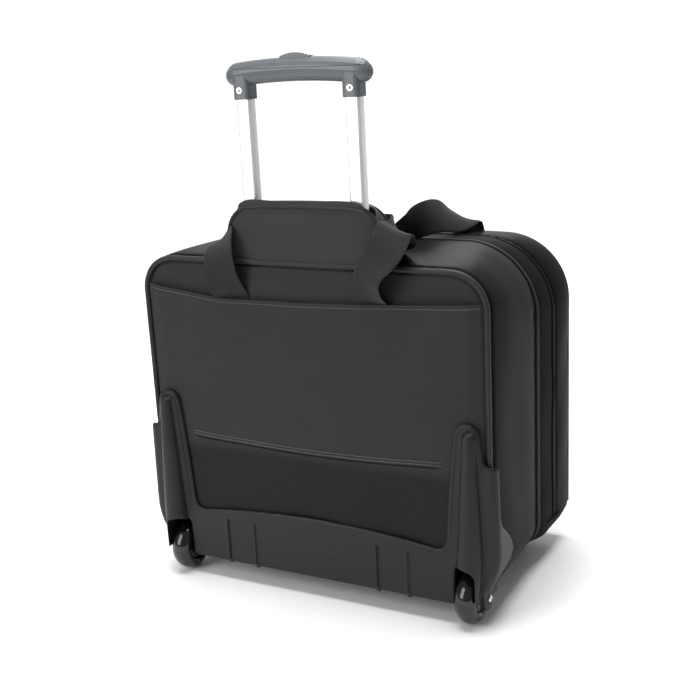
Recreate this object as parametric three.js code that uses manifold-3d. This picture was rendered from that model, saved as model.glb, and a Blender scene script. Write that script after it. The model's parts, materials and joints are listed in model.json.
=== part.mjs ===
// Rolling laptop case: a soft-sided case on two wheels with a telescopic handle.
// Millimetres, +Z up. The wheels and the handle tubes are on the -Y side, and the lid opens towards +Y.
// Everything is built with y = 0 on the rear piping, and the whole group is then centred on its own depth.
import * as THREE from 'three';
import { mergeVertices } from 'three/addons/utils/BufferGeometryUtils.js';
import Module from 'manifold-3d';

const wasm = await Module();
wasm.setup();

// ---- driving dimensions ----
const GAP = 0.4;                 // clearance between neighbouring pieces
const DEPTH_MIDDLE = 115;        // y of the middle of the whole depth, wheel front to pocket front
const WALL = 4;                  // padded fabric wall of the main body
const CORNER_STEPS = 6;          // straight pieces in each rounded corner of the large outlines
const SMALL_STEPS = 2;           // and in those of tubes, sockets and feet

const MAIN = { halfWidth: 211, low: 27.5, high: 390, corner: 56, rear: 3, front: 146 };
const BAND = { halfWidth: 212, low: 27.5, high: 386, corner: 56, rear: 146.4, front: 197.6 };
const LID = { halfWidth: 215.5, low: 26, high: 384, corner: 60, rear: 202.4, front: 246 };
const SPLIT = 70;                // height where the zip ends and the lid folds
const LID_FACE = 250;            // y of the lid's outer face
const TAPE_HALF_WIDTH = 213.6;
const TAPE_HIGH = 387.2;

const PIPING = { halfWidth: 210, low: 28.6, high: 388, corner: 42, radius: 3.2, y: -0.6 };
const PANEL = { rear: -0.2, front: 2.7 };
const POCKET = {
  rear: -6.2, inner: -5, front: -0.6, halfWidth: 205, low: 36, side: 3, hem: 343.5, hemRise: 10.5 };

const TUBE_X = 64.3;
const TUBE_Y = 13.4;
const INNER_TUBE = { width: 16.2, depth: 14.6, wall: 1.2, low: 214, high: 574 };
const MIDDLE_TUBE = { width: 19.4, depth: 17.8, wall: 1.2, low: 37, high: 391.6 };
const OUTER_TUBE = { width: 22.2, depth: 20.6, wall: 1.0, low: 34, high: 388 };
const TUBE_CORNER = 2.6;
const PLUG = { low: 198, pin: 206, bore: 2.8 };
const LOCK_PIN = { radius: 2.5, root: 2.6 };
const TUBE_COLLAR = { width: 27, depth: 22.4, low: 390.4, high: 391.2 };
const MIDDLE_COLLAR = { width: 21.4, depth: 19.4, low: 392, high: 395.6 };

const GARAGE = { halfWidth: 90, low: 391.6, high: 447, corner: 30, rear: -1.2, front: 34, wall: 2.6 };
const GARAGE_SLOT = { halfWidth: 86.9, front: 28.5 };

const GRIP = { halfWidth: 85.7, middle: 586.5, halfHeight: 12.6, halfDepth: 11.1, sag: 5.5, wall: 2.4 };
const SOCKET = { width: 19.6, depth: 21.6, low: 557, corner: 5 };
const RIVET = { x: 65, z: 566.5, radius: 3.3, bore: 1.6, front: 8 };
const BUTTON = { halfWidth: 17.5, halfDepth: 5, low: 591.2, high: 603 };
const YOKE = { halfWidth: 67, halfDepth: 3.2, low: 586.2, high: 590.2 };
const ROD_RADIUS = 2;

const WHEEL = { x: 182, y: 6, z: 30, radius: 30, width: 24, hub: 17 };
const AXLE_RADIUS = 3;
const BEARING_RADIUS = 8;
const WELL = { halfWidth: 14, high: 73, corner: 12, front: 39 };
const EAR = 4.6;                 // thickness of the fork's inner ear
const BASE = { rear: -10, front: -6.6, bottom: 24.3, wing: 216.5, horn: 184.5, hornTop: 229.5 };
const STRAP = { width: 38, thickness: 2.5 };
const FOOT = { x: 152, y: 196, width: 36, depth: 30, high: 25.6 };

// ---- shapes and solids ----
function solidOf(geometry) {
  const bare = geometry.clone();
  bare.deleteAttribute('normal');
  bare.deleteAttribute('uv');
  const merged = mergeVertices(bare, 1e-4);
  return new wasm.Manifold(new wasm.Mesh({
    numProp: 3,
    vertProperties: new Float32Array(merged.attributes.position.array),
    triVerts: new Uint32Array(merged.index.array),
  }));
}

function geometryOf(solid) {
  const mesh = solid.getMesh();
  const geometry = new THREE.BufferGeometry();
  geometry.setAttribute('position', new THREE.BufferAttribute(new Float32Array(mesh.vertProperties), 3));
  geometry.setIndex(new THREE.BufferAttribute(new Uint32Array(mesh.triVerts), 1));
  const flat = geometry.toNonIndexed();
  flat.computeVertexNormals();
  return flat;
}

function box(x0, x1, y0, y1, z0, z1) {
  const geometry = new THREE.BoxGeometry(x1 - x0, y1 - y0, z1 - z0);
  return solidOf(geometry.translate((x0 + x1) / 2, (y0 + y1) / 2, (z0 + z1) / 2));
}

// A cylinder along one axis, from a to b on that axis.
// u and v are its centre on the other two axes, in X, Y, Z order.
function rod(axis, radius, a, b, u, v, sides = 16) {
  const geometry = new THREE.CylinderGeometry(radius, radius, b - a, sides);
  const middle = (a + b) / 2;
  if (axis === 'x') geometry.rotateZ(Math.PI / 2).translate(middle, u, v);
  if (axis === 'y') geometry.translate(u, middle, v);
  if (axis === 'z') geometry.rotateX(Math.PI / 2).translate(u, v, middle);
  return solidOf(geometry);
}

// An outline drawn in x and z, made solid from y0 to y1.
function slabXZ(shape, y0, y1) {
  const geometry = new THREE.ExtrudeGeometry(shape, {
    depth: y1 - y0, bevelEnabled: false, curveSegments: CORNER_STEPS });
  return solidOf(geometry.rotateX(Math.PI / 2).translate(0, y1, 0));
}

// An outline drawn in y and z, made solid from x0 to x1.
function slabYZ(shape, x0, x1) {
  const geometry = new THREE.ExtrudeGeometry(shape, {
    depth: x1 - x0, bevelEnabled: false, curveSegments: CORNER_STEPS });
  const turn = new THREE.Matrix4().makeBasis(
    new THREE.Vector3(0, 1, 0), new THREE.Vector3(0, 0, 1), new THREE.Vector3(1, 0, 0));
  return solidOf(geometry.applyMatrix4(turn).translate(x0, 0, 0));
}

// An outline drawn in x and y, made solid from z0 to z1.
function slabXY(shape, z0, z1) {
  const geometry = new THREE.ExtrudeGeometry(shape, {
    depth: z1 - z0, bevelEnabled: false, curveSegments: SMALL_STEPS });
  return solidOf(geometry.translate(0, 0, z0));
}

function roundedRect(x0, x1, z0, z1, corner) {
  const shape = new THREE.Shape();
  shape.absarc(x1 - corner, z0 + corner, corner, -Math.PI / 2, 0);
  shape.absarc(x1 - corner, z1 - corner, corner, 0, Math.PI / 2);
  shape.absarc(x0 + corner, z1 - corner, corner, Math.PI / 2, Math.PI);
  shape.absarc(x0 + corner, z0 + corner, corner, Math.PI, 1.5 * Math.PI);
  shape.closePath();
  return shape;
}

// The outline of a body section, drawn smaller by inset all round.
function section(body, inset = 0) {
  const half = body.halfWidth - inset;
  return roundedRect(-half, half, body.low + inset, body.high - inset, body.corner - inset);
}

// A frame round a body section: the wall between its outline and the outline inset by thickness.
function frame(body, thickness, y0, y1, inset = 0) {
  const outside = slabXZ(section(body, inset), y0, y1);
  return outside.subtract(slabXZ(section(body, inset + thickness), y0 - 1, y1 + 1));
}

function above(solid, z) {
  return solid.subtract(box(-300, 300, -100, 400, -10, z));
}

function below(solid, z) {
  return solid.subtract(box(-300, 300, -100, 400, z, 700));
}

function tubeAt(x, tube, grow = 0) {
  const halfWidth = tube.width / 2 + grow;
  const halfDepth = tube.depth / 2 + grow;
  const [front, rear] = [TUBE_Y - halfDepth, TUBE_Y + halfDepth];
  return roundedRect(x - halfWidth, x + halfWidth, front, rear, TUBE_CORNER + grow);
}

function hollowTube(x, tube) {
  return slabXY(tubeAt(x, tube), tube.low, tube.high)
    .subtract(slabXY(tubeAt(x, tube, -tube.wall), tube.low - 1, tube.high + 1));
}

// The wheel arch at one side, an upright slot with a round top, drawn larger by grow.
function wheelArch(side, grow, y0, y1, low = -20) {
  const x = side * WHEEL.x;
  const half = WELL.halfWidth + grow;
  const corner = WELL.corner + grow;
  const shape = new THREE.Shape();
  shape.moveTo(x - half, low);
  shape.lineTo(x + half, low);
  shape.absarc(x + half - corner, WELL.high + grow - corner, corner, 0, Math.PI / 2);
  shape.absarc(x - half + corner, WELL.high + grow - corner, corner, Math.PI / 2, Math.PI);
  shape.closePath();
  return slabXZ(shape, y0, y1);
}

function clearOfWheels(solid) {
  let cut = solid;
  for (const side of [-1, 1]) cut = cut.subtract(wheelArch(side, EAR + 1.6, -60, WELL.front + 3));
  return cut;
}

// A flat band that follows a route, with its width turned towards the across directions.
function webbing(route, across, steps) {
  const line = new THREE.CatmullRomCurve3(route.map((p) => new THREE.Vector3(...p)), false, 'catmullrom');
  const turn = new THREE.CatmullRomCurve3(across.map((p) => new THREE.Vector3(...p)), false, 'catmullrom');
  const strip = new THREE.BoxGeometry(STRAP.width, STRAP.thickness, 1, 1, 1, steps);
  const at = strip.attributes.position;
  for (let i = 0; i < at.count; i++) {
    const share = at.getZ(i) + 0.5;
    const tangent = line.getTangent(share);
    const side = turn.getPoint(share);
    side.addScaledVector(tangent, -side.dot(tangent)).normalize();
    const face = new THREE.Vector3().crossVectors(tangent, side);
    const point = line.getPoint(share).addScaledVector(side, at.getX(i)).addScaledVector(face, at.getY(i));
    at.setXYZ(i, point.x, point.y, point.z);
  }
  return solidOf(strip);
}

// ---- scene graph ----
const group = new THREE.Group();
group.position.y = -DEPTH_MIDDLE;

const FABRIC = [0x17181a, 0.85, 0];
const PIPING_FINISH = [0x1c1d1f, 0.6, 0];
const PLASTIC = [0x2b2c2d, 0.5, 0];
const GRIP_PLASTIC = [0x35383c, 0.42, 0];
const ALUMINIUM = [0xd9dadb, 0.3, 0.9];
const STEEL = [0xc9cacc, 0.25, 1];
const GLOSSY_BLACK = [0x08080a, 0.12, 0];
const HUB_GREY = [0x8d9092, 0.35, 0.1];
const WEBBING = [0x131415, 0.9, 0];
const LINING = [0x3b3d40, 0.8, 0];

function add(name, solid, [color, roughness, metalness]) {
  const mesh = new THREE.Mesh(
    geometryOf(solid), new THREE.MeshStandardMaterial({ color, roughness, metalness }));
  mesh.name = name;
  group.add(mesh);
}

const SIDES = [['left', -1], ['right', 1]];

// ---- case body ----
function mainGusset() {
  let solid = frame(MAIN, WALL, MAIN.rear, MAIN.front);
  for (const [, side] of SIDES) {
    solid = solid.subtract(slabXY(tubeAt(side * TUBE_X, OUTER_TUBE, GAP), 300, 420));
  }
  return clearOfWheels(solid);
}

function rearPanel() {
  return clearOfWheels(slabXZ(section(PIPING, PIPING.radius + GAP), PANEL.rear, PANEL.front));
}

// The welt round the rear panel, down to where it goes in behind the moulded base.
function rearPiping() {
  const r = PIPING.radius;
  const flat = 0.8;
  let solid = frame(PIPING, 2 * r, PIPING.y - flat, PIPING.y + flat, -r);
  for (const [inset, y] of [[0.9, 2.1], [1.9, r]]) {
    solid = solid.add(frame(PIPING, 2 * (r - inset), PIPING.y - y, PIPING.y + y, inset - r));
  }
  return above(solid, WELL.high + 6);
}

// A slip pocket over the whole rear panel, open along its sagging top edge.
function rearPocket() {
  const half = POCKET.halfWidth;
  const outline = new THREE.Shape();
  const corner = 34;
  outline.absarc(half - corner, POCKET.low + corner, corner, -Math.PI / 2, 0);
  outline.lineTo(half, POCKET.hem + POCKET.hemRise);
  outline.quadraticCurveTo(0, POCKET.hem - POCKET.hemRise, -half, POCKET.hem + POCKET.hemRise);
  outline.absarc(-half + corner, POCKET.low + corner, corner, Math.PI, 1.5 * Math.PI);
  outline.closePath();
  const inside = half - POCKET.side;
  const cavity = slabXZ(
    roundedRect(-inside, inside, POCKET.low + POCKET.side, 420, corner - POCKET.side), POCKET.inner, 5);
  return clearOfWheels(slabXZ(outline, POCKET.rear, POCKET.front).subtract(cavity));
}

function lowerTray() {
  const wall = 3.5;
  const ring = frame(LID, wall, BAND.rear, LID_FACE);
  const face = slabXZ(section(LID), LID_FACE - WALL, LID_FACE);
  return below(ring.add(face), SPLIT - GAP);
}

function trolleyLining() {
  return clearOfWheels(slabXZ(section(MAIN, WALL + GAP), 26, 28));
}

function laptopDivider() {
  return below(slabXZ(section(MAIN, WALL + 2), 126, 133), 335);
}

function handleGarage() {
  const outer = new THREE.Shape();
  const inner = new THREE.Shape();
  for (const [shape, inset] of [[outer, 0], [inner, GARAGE.wall]]) {
    const half = GARAGE.halfWidth - inset;
    const corner = GARAGE.corner - inset;
    const top = GARAGE.high - inset;
    shape.moveTo(half, GARAGE.low - inset);
    shape.absarc(half - corner, top - corner, corner, 0, Math.PI / 2);
    shape.absarc(-half + corner, top - corner, corner, Math.PI / 2, Math.PI);
    shape.lineTo(-half, GARAGE.low - inset);
    shape.closePath();
  }
  const hollow = slabXZ(inner, GARAGE.rear + GARAGE.wall, GARAGE.front - GARAGE.wall);
  const slot = box(-GARAGE_SLOT.halfWidth, GARAGE_SLOT.halfWidth,
    GARAGE.rear + GARAGE.wall, GARAGE_SLOT.front, GARAGE.low + 20, GARAGE.high + 5);
  return slabXZ(outer, GARAGE.rear, GARAGE.front).subtract(hollow).subtract(slot);
}

add('main_gusset', mainGusset(), FABRIC);
add('rear_panel', rearPanel(), FABRIC);
add('rear_piping', rearPiping(), PIPING_FINISH);
add('rear_pocket', rearPocket(), FABRIC);
add('expansion_band', above(frame(BAND, 3, BAND.rear, BAND.front), SPLIT), FABRIC);
add('front_lower_tray', lowerTray(), FABRIC);
add('trolley_lining', trolleyLining(), LINING);
add('laptop_divider', laptopDivider(), LINING);
add('handle_garage', handleGarage(), FABRIC);

// The zip's two tapes meet face to face half-way between the band and the lid.
const TAPE = { halfWidth: TAPE_HALF_WIDTH, low: 27.5, high: TAPE_HIGH, corner: 58 };
add('zip_tape_case', above(frame(TAPE, 5, BAND.front + GAP, 199.8), SPLIT), PIPING_FINISH);

// The wheel-side carry handle: out of the rear pocket, up both sides of the garage and round behind it.
const REAR_HANDLE_ROUTE = [
  [-83.5, -2.8, 334], [-84, -3.2, 347], [-87, -10, 357], [-88, -18, 374], [-91, -18, 390], [-99, -12, 402],
  [-107, 0, 413], [-109, 15, 421], [-104, 38, 426], [-86, 54, 424], [-48, 60, 421], [0, 62, 420],
  [50, 60, 421], [92, 54, 423], [116, 32, 424], [121, 4, 422], [113, -9, 412], [102, -15, 402],
  [92, -18, 391], [85, -18, 379], [83.5, -12, 364], [82.5, -3.2, 349], [82.5, -2.8, 334]];
const REAR_HANDLE_ACROSS = [
  [-1, 0, 0], [-1, 0, 0], [-1, -0.2, 0.2], [-0.85, -0.45, 0.3], [-0.85, -0.4, 0.3], [-0.95, 0.1, 0.2],
  [-0.7, 0.7, 0.1], [-0.5, 0.8, -0.2], [-0.2, 0.4, -0.8], [0, 0, -1], [0, 0, -1], [0, 0, -1],
  [0, 0, -1], [0, 0, -1], [0.5, -0.1, -0.8], [0.7, -0.2, -0.7], [0.8, 0, -0.6], [0.85, -0.1, -0.5],
  [0.9, -0.3, -0.3], [0.85, -0.5, 0], [0.95, -0.3, 0], [1, 0, 0], [1, 0, 0]];
add('rear_carry_handle', webbing(REAR_HANDLE_ROUTE, REAR_HANDLE_ACROSS, 60), WEBBING);

// ---- moulded wheel base ----
function baseOutline() {
  const shape = new THREE.Shape();
  const right = [
    [201.6, BASE.bottom], [201.6, 46], [207, 54], [BASE.wing, 66], [BASE.wing, 183], [210, 185]];
  shape.moveTo(0, BASE.bottom);
  for (const [x, z] of right) shape.lineTo(x, z);
  shape.quadraticCurveTo(202.5, 186, 201.5, 194);
  shape.lineTo(198.8, 216);
  shape.absarc(BASE.horn, BASE.hornTop - 14.5, 14.5, 0, Math.PI);
  shape.lineTo(166, 179);
  shape.lineTo(162.5, 140);
  shape.lineTo(159.5, 97);
  shape.quadraticCurveTo(158, 85.4, 148, 85.4);
  shape.quadraticCurveTo(70, 95.5, 0, 95.5);
  shape.closePath();
  return shape;
}

// The half-round rib that widens down each horn and holds the wheel.
function hornRib() {
  const top = 220;
  const low = 40;
  const cone = new THREE.CylinderGeometry(7.2, 15.2, top - low, 20)
    .rotateX(Math.PI / 2).scale(1, 1.15, 1).translate(186.5, -8, (top + low) / 2);
  const cap = new THREE.SphereGeometry(7.2, 20, 8).scale(1, 1.15, 0.9).translate(186.5, -8, top);
  return solidOf(cone).add(solidOf(cap)).subtract(box(150, 230, -7, 30, 20, 260));
}

function forkEar(x0, x1, rear) {
  const ear = new THREE.Shape();
  ear.absarc(WHEEL.y, WHEEL.z, 13, Math.PI, 2 * Math.PI);
  ear.lineTo(WHEEL.y + 15, 60);
  ear.lineTo(rear, 60);
  ear.closePath();
  return slabYZ(ear, x0, x1);
}

function sideWing() {
  const wing = new THREE.Shape();
  wing.moveTo(BASE.rear, 64);
  wing.lineTo(10, 58);
  wing.lineTo(31, 62);
  wing.quadraticCurveTo(40, 68.5, 37.5, 80);
  wing.quadraticCurveTo(32, 95, 9, 113);
  wing.quadraticCurveTo(0, 120, 0, 136);
  wing.lineTo(0, 183);
  wing.lineTo(BASE.rear, 183);
  wing.closePath();
  return slabYZ(wing, MAIN.halfWidth + 2.6, BASE.wing);
}

function rightHalfOfBase() {
  const wellWall = 2.4;
  let solid = slabXZ(baseOutline(), BASE.rear, BASE.front);
  solid = solid.add(hornRib());
  solid = solid.add(sideWing());
  solid = solid.add(wheelArch(1, wellWall, BASE.rear, WELL.front + wellWall, BASE.bottom + 0.2));
  solid = solid.add(box(0, 201.6, BASE.front - 1, 40, BASE.bottom, 27.1));
  solid = solid.add(forkEar(WHEEL.x + WELL.halfWidth, 201.6, -8));
  solid = solid.add(forkEar(WHEEL.x - WELL.halfWidth - EAR, WHEEL.x - WELL.halfWidth, -8));
  solid = solid.subtract(wheelArch(1, 0, -60, WELL.front));
  solid = solid.subtract(rod('x', AXLE_RADIUS + 0.3, 150, 215, WHEEL.y, WHEEL.z));
  for (const x of [78, 115]) {
    solid = solid.subtract(box(x - 1.5, x + 1.5, BASE.rear - 1, BASE.rear + 1.2, 10, 77));
    solid = solid.add(rod('y', 3, BASE.rear - 0.6, BASE.front, x, BASE.bottom + 0.6, 16));
  }
  return solid;
}

function wheelBase() {
  const right = rightHalfOfBase();
  const whole = right.add(right.mirror([1, 0, 0]));
  return whole.subtract(box(-32, 32, BASE.rear - 1, BASE.rear + 0.6, 58, 79));
}

add('wheel_base', wheelBase(), PLASTIC);

// ---- wheels, axles and feet ----
function lathedAboutX(points, x, sides) {
  const geometry = new THREE.LatheGeometry(points.map(([r, along]) => new THREE.Vector2(r, along)), sides);
  return solidOf(geometry.rotateZ(-Math.PI / 2).translate(x, WHEEL.y, WHEEL.z));
}

function tyreProfile() {
  const half = WHEEL.width / 2;
  const points = [[WHEEL.hub, -half + 2.4]];
  const steps = 8;
  for (let i = 0; i <= steps; i++) {
    const turn = -Math.PI / 2 + (Math.PI * i) / steps;
    points.push([WHEEL.hub + 4 + (WHEEL.radius - WHEEL.hub - 4) * Math.cos(turn), half * Math.sin(turn)]);
  }
  points.push([WHEEL.hub, half - 2.4], [WHEEL.hub, -half + 2.4]);
  return points;
}

const HUB_HALF = 10.6;
const HUB_PROFILE = [
  [BEARING_RADIUS + 0.3, -4], [BEARING_RADIUS + 3, -HUB_HALF + 1], [WHEEL.hub - 2, -HUB_HALF + 1],
  [WHEEL.hub - GAP, -HUB_HALF + 2], [WHEEL.hub - GAP, HUB_HALF - 2], [WHEEL.hub - 2, HUB_HALF - 1],
  [BEARING_RADIUS + 3, HUB_HALF - 1], [BEARING_RADIUS + 0.3, 4], [BEARING_RADIUS + 0.3, -4]];
const BEARING_PROFILE = [
  [AXLE_RADIUS + 0.3, -HUB_HALF], [BEARING_RADIUS, -HUB_HALF], [BEARING_RADIUS, HUB_HALF],
  [AXLE_RADIUS + 0.3, HUB_HALF], [AXLE_RADIUS + 0.3, -HUB_HALF]];

function axle(side) {
  const inner = WHEEL.x - WELL.halfWidth - EAR - 1;
  const outer = 202;
  const shaft = rod('x', AXLE_RADIUS, inner, outer, WHEEL.y, WHEEL.z);
  const head = rod('x', 4.2, outer, outer + 1.4, WHEEL.y, WHEEL.z)
    .add(rod('x', 3.1, outer, outer + 2.2, WHEEL.y, WHEEL.z));
  const whole = shaft.add(head);
  return side > 0 ? whole : whole.mirror([1, 0, 0]);
}

function foot(side) {
  const x = side * FOOT.x;
  const layer = (inset, low, high) => {
    const half = FOOT.width / 2 - inset;
    const deep = FOOT.depth / 2 - inset;
    return slabXY(roundedRect(x - half, x + half, FOOT.y - deep, FOOT.y + deep, 6), low, high);
  };
  return layer(3, 0, 8).add(layer(1.5, 4, 16)).add(layer(0, 10, FOOT.high));
}

for (const [name, side] of SIDES) {
  add(`wheel_tyre_${name}`, lathedAboutX(tyreProfile(), side * WHEEL.x, 32), GLOSSY_BLACK);
  add(`wheel_hub_${name}`, lathedAboutX(HUB_PROFILE, side * WHEEL.x, 20), HUB_GREY);
  add(`wheel_bearing_${name}`, lathedAboutX(BEARING_PROFILE, side * WHEEL.x, 20), STEEL);
  add(`axle_${name}`, axle(side), STEEL);
  add(`front_foot_${name}`, foot(side), PLASTIC);
}

// ---- telescopic handle ----
function collar(x, hole, size) {
  return slabXY(tubeAt(x, size), size.low, size.high)
    .subtract(slabXY(tubeAt(x, hole, GAP), size.low - 1, size.high + 1));
}

// The bottom plug of an inner tube, with a blind bore that holds the lock pin.
function tubePlug(side) {
  const x = side * TUBE_X;
  const body = slabXY(tubeAt(x, INNER_TUBE), PLUG.low, INNER_TUBE.low - GAP);
  const [from, to] = side > 0 ? [x, x + INNER_TUBE.width] : [x - INNER_TUBE.width, x];
  return body.subtract(rod('x', PLUG.bore, from, to, TUBE_Y, PLUG.pin));
}

function lockPin(side) {
  const x = side * TUBE_X;
  const tip = x + side * (INNER_TUBE.width / 2);
  const root = x + side * LOCK_PIN.root;
  return rod('x', LOCK_PIN.radius, Math.min(root, tip), Math.max(root, tip), TUBE_Y, PLUG.pin);
}

for (const [name, side] of SIDES) {
  const x = side * TUBE_X;
  add(`outer_tube_${name}`, hollowTube(x, OUTER_TUBE), ALUMINIUM);
  add(`tube_collar_${name}`, collar(x, MIDDLE_TUBE, TUBE_COLLAR), PLASTIC);
  add(`middle_tube_${name}`, hollowTube(x, MIDDLE_TUBE), ALUMINIUM);
  add(`middle_collar_${name}`, collar(x, INNER_TUBE, MIDDLE_COLLAR), PLASTIC);
  const bored = hollowTube(x, INNER_TUBE)
    .subtract(rod('y', RIVET.radius + 0.3, -20, RIVET.front + GAP, side * RIVET.x, RIVET.z));
  add(`inner_tube_${name}`, bored, ALUMINIUM);
  add(`tube_plug_${name}`, tubePlug(side), PLASTIC);
  add(`lock_pin_${name}`, lockPin(side), STEEL);
}

// The grip is a bar with round ends, arched by sag, and drawn smaller by inset all round.
function gripBar(inset) {
  const half = GRIP.halfWidth - inset;
  const profile = [new THREE.Vector2(0, -half)];
  const steps = 5;
  const end = 15 - inset;
  for (let i = 1; i <= steps; i++) {
    const turn = (Math.PI / 2) * (i / steps);
    profile.push(new THREE.Vector2(Math.sin(turn), -half + end * (1 - Math.cos(turn))));
  }
  for (const share of [-0.75, -0.5, -0.25, 0, 0.25, 0.5, 0.75]) {
    profile.push(new THREE.Vector2(1, share * (half - end)));
  }
  for (let i = steps; i >= 1; i--) {
    const turn = (Math.PI / 2) * (i / steps);
    profile.push(new THREE.Vector2(Math.sin(turn), half - end * (1 - Math.cos(turn))));
  }
  profile.push(new THREE.Vector2(0, half));
  const geometry = new THREE.LatheGeometry(profile, 20).rotateZ(-Math.PI / 2)
    .scale(1, GRIP.halfDepth - inset, GRIP.halfHeight - inset);
  const at = geometry.attributes.position;
  for (let i = 0; i < at.count; i++) {
    const share = at.getX(i) / GRIP.halfWidth;
    at.setZ(i, at.getZ(i) + GRIP.middle - GRIP.sag * share * share);
    at.setY(i, at.getY(i) + TUBE_Y);
  }
  return solidOf(geometry);
}

function socketAt(x, grow = 0) {
  const half = SOCKET.width / 2 + grow;
  const deep = SOCKET.depth / 2 + grow;
  return roundedRect(x - half, x + half, TUBE_Y - deep, TUBE_Y + deep, SOCKET.corner + grow);
}

const GRIP_SEAM = 588.2;

function gripShells() {
  let outside = gripBar(0);
  for (const [, side] of SIDES) outside = outside.add(slabXY(socketAt(side * TUBE_X), SOCKET.low, 583));
  let hollow = gripBar(GRIP.wall).subtract(box(-100, 100, -10, 40, 560, 580));
  for (const [, side] of SIDES) {
    const x = side * TUBE_X;
    hollow = hollow.add(slabXY(tubeAt(x, INNER_TUBE, 0.35), SOCKET.low - 1, INNER_TUBE.high + GAP));
    hollow = hollow.add(rod('z', ROD_RADIUS + 0.5, 560, 586, x, TUBE_Y, 16));
    hollow = hollow.add(rod('y', RIVET.radius + 0.3, -20, RIVET.front + GAP, side * RIVET.x, RIVET.z));
  }
  hollow = hollow.add(box(-BUTTON.halfWidth - GAP, BUTTON.halfWidth + GAP,
    TUBE_Y - BUTTON.halfDepth - GAP, TUBE_Y + BUTTON.halfDepth + GAP, 590, 610));
  const whole = outside.subtract(hollow);
  return [below(whole, GRIP_SEAM - GAP / 2), above(whole, GRIP_SEAM + GAP / 2)];
}

function releaseButton() {
  const outline = new THREE.Shape();
  const half = BUTTON.halfWidth;
  outline.moveTo(-half, BUTTON.low);
  outline.lineTo(half, BUTTON.low);
  outline.lineTo(half, BUTTON.high - 3.5);
  outline.quadraticCurveTo(0, BUTTON.high + 3.5, -half, BUTTON.high - 3.5);
  outline.closePath();
  return slabXZ(outline, TUBE_Y - BUTTON.halfDepth, TUBE_Y + BUTTON.halfDepth);
}

function rivet(side) {
  const x = side * RIVET.x;
  return rod('y', RIVET.radius, TUBE_Y - SOCKET.depth / 2 - 0.7, RIVET.front, x, RIVET.z, 20)
    .subtract(rod('y', RIVET.bore, -20, 50, x, RIVET.z, 16));
}

const [gripLower, gripUpper] = gripShells();
add('grip_lower_shell', gripLower, GRIP_PLASTIC);
add('grip_upper_shell', gripUpper, GRIP_PLASTIC);
add('release_button', releaseButton(), GRIP_PLASTIC);
add('release_yoke', box(-YOKE.halfWidth, YOKE.halfWidth, TUBE_Y - YOKE.halfDepth, TUBE_Y + YOKE.halfDepth,
  YOKE.low, YOKE.high), PLASTIC);
for (const [name, side] of SIDES) {
  const x = side * TUBE_X;
  add(`push_rod_${name}`, rod('z', ROD_RADIUS, INNER_TUBE.low + 5, YOKE.low - GAP, x, TUBE_Y, 16), STEEL);
  add(`grip_rivet_${name}`, rivet(side), STEEL);
}

// ---- front lid ----
const FRONT_POCKET = { halfWidth: 178, low: 96, high: 322, corner: 26, face: 262, side: 3, cloth: 2.4 };
function frontPocket() {
  const { halfWidth, low, high, corner, face, side, cloth } = FRONT_POCKET;
  const hollow = roundedRect(-halfWidth + side, halfWidth - side, low + side, high + corner, corner - side);
  return slabXZ(section(FRONT_POCKET), LID_FACE + GAP, face)
    .subtract(slabXZ(hollow, LID_FACE + cloth, face - cloth));
}

add('lid_gusset', above(frame(LID, 3.5, LID.rear, LID.front - GAP), SPLIT), FABRIC);
add('lid_front_panel', above(slabXZ(section(LID, 7), LID.front, LID_FACE), SPLIT), FABRIC);
add('lid_piping', above(frame(LID, 6.6, LID.front, LID_FACE + 1.6), SPLIT), PIPING_FINISH);
add('front_pocket', frontPocket(), FABRIC);
add('zip_tape_lid', above(frame(TAPE, 5, 200.2, LID.rear - GAP), SPLIT), PIPING_FINISH);

// The front carry handle stands on the lid's top edge and lies back over the top of the case.
const FRONT_HANDLE_ROUTE = [
  [-112, 238, 390], [-114, 229, 401], [-111, 206, 406], [-92, 180, 406], [-52, 160, 402], [-12, 140, 399],
  [26, 124, 399], [50, 121, 400], [68, 127, 406], [80, 143, 412], [87, 168, 412], [92, 194, 406],
  [95, 218, 402], [97, 230, 398], [98, 235.5, 387.2]];
const FRONT_HANDLE_ACROSS = [
  [1, 0, 0], [0.8, 0.5, 0], [0.4, 0.9, 0], [0.3, 0.95, 0], [0.35, 0.93, 0], [0.35, 0.93, 0],
  [0.35, 0.92, -0.05], [0.35, 0.9, -0.15], [0.35, 0.8, -0.45], [0.2, 0.2, -1], [0.25, -0.35, -0.9],
  [0.5, -0.5, -0.7], [0.85, -0.4, -0.35], [1, -0.1, 0], [1, 0, 0]];
add('front_carry_handle', webbing(FRONT_HANDLE_ROUTE, FRONT_HANDLE_ACROSS, 44), WEBBING);

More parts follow.
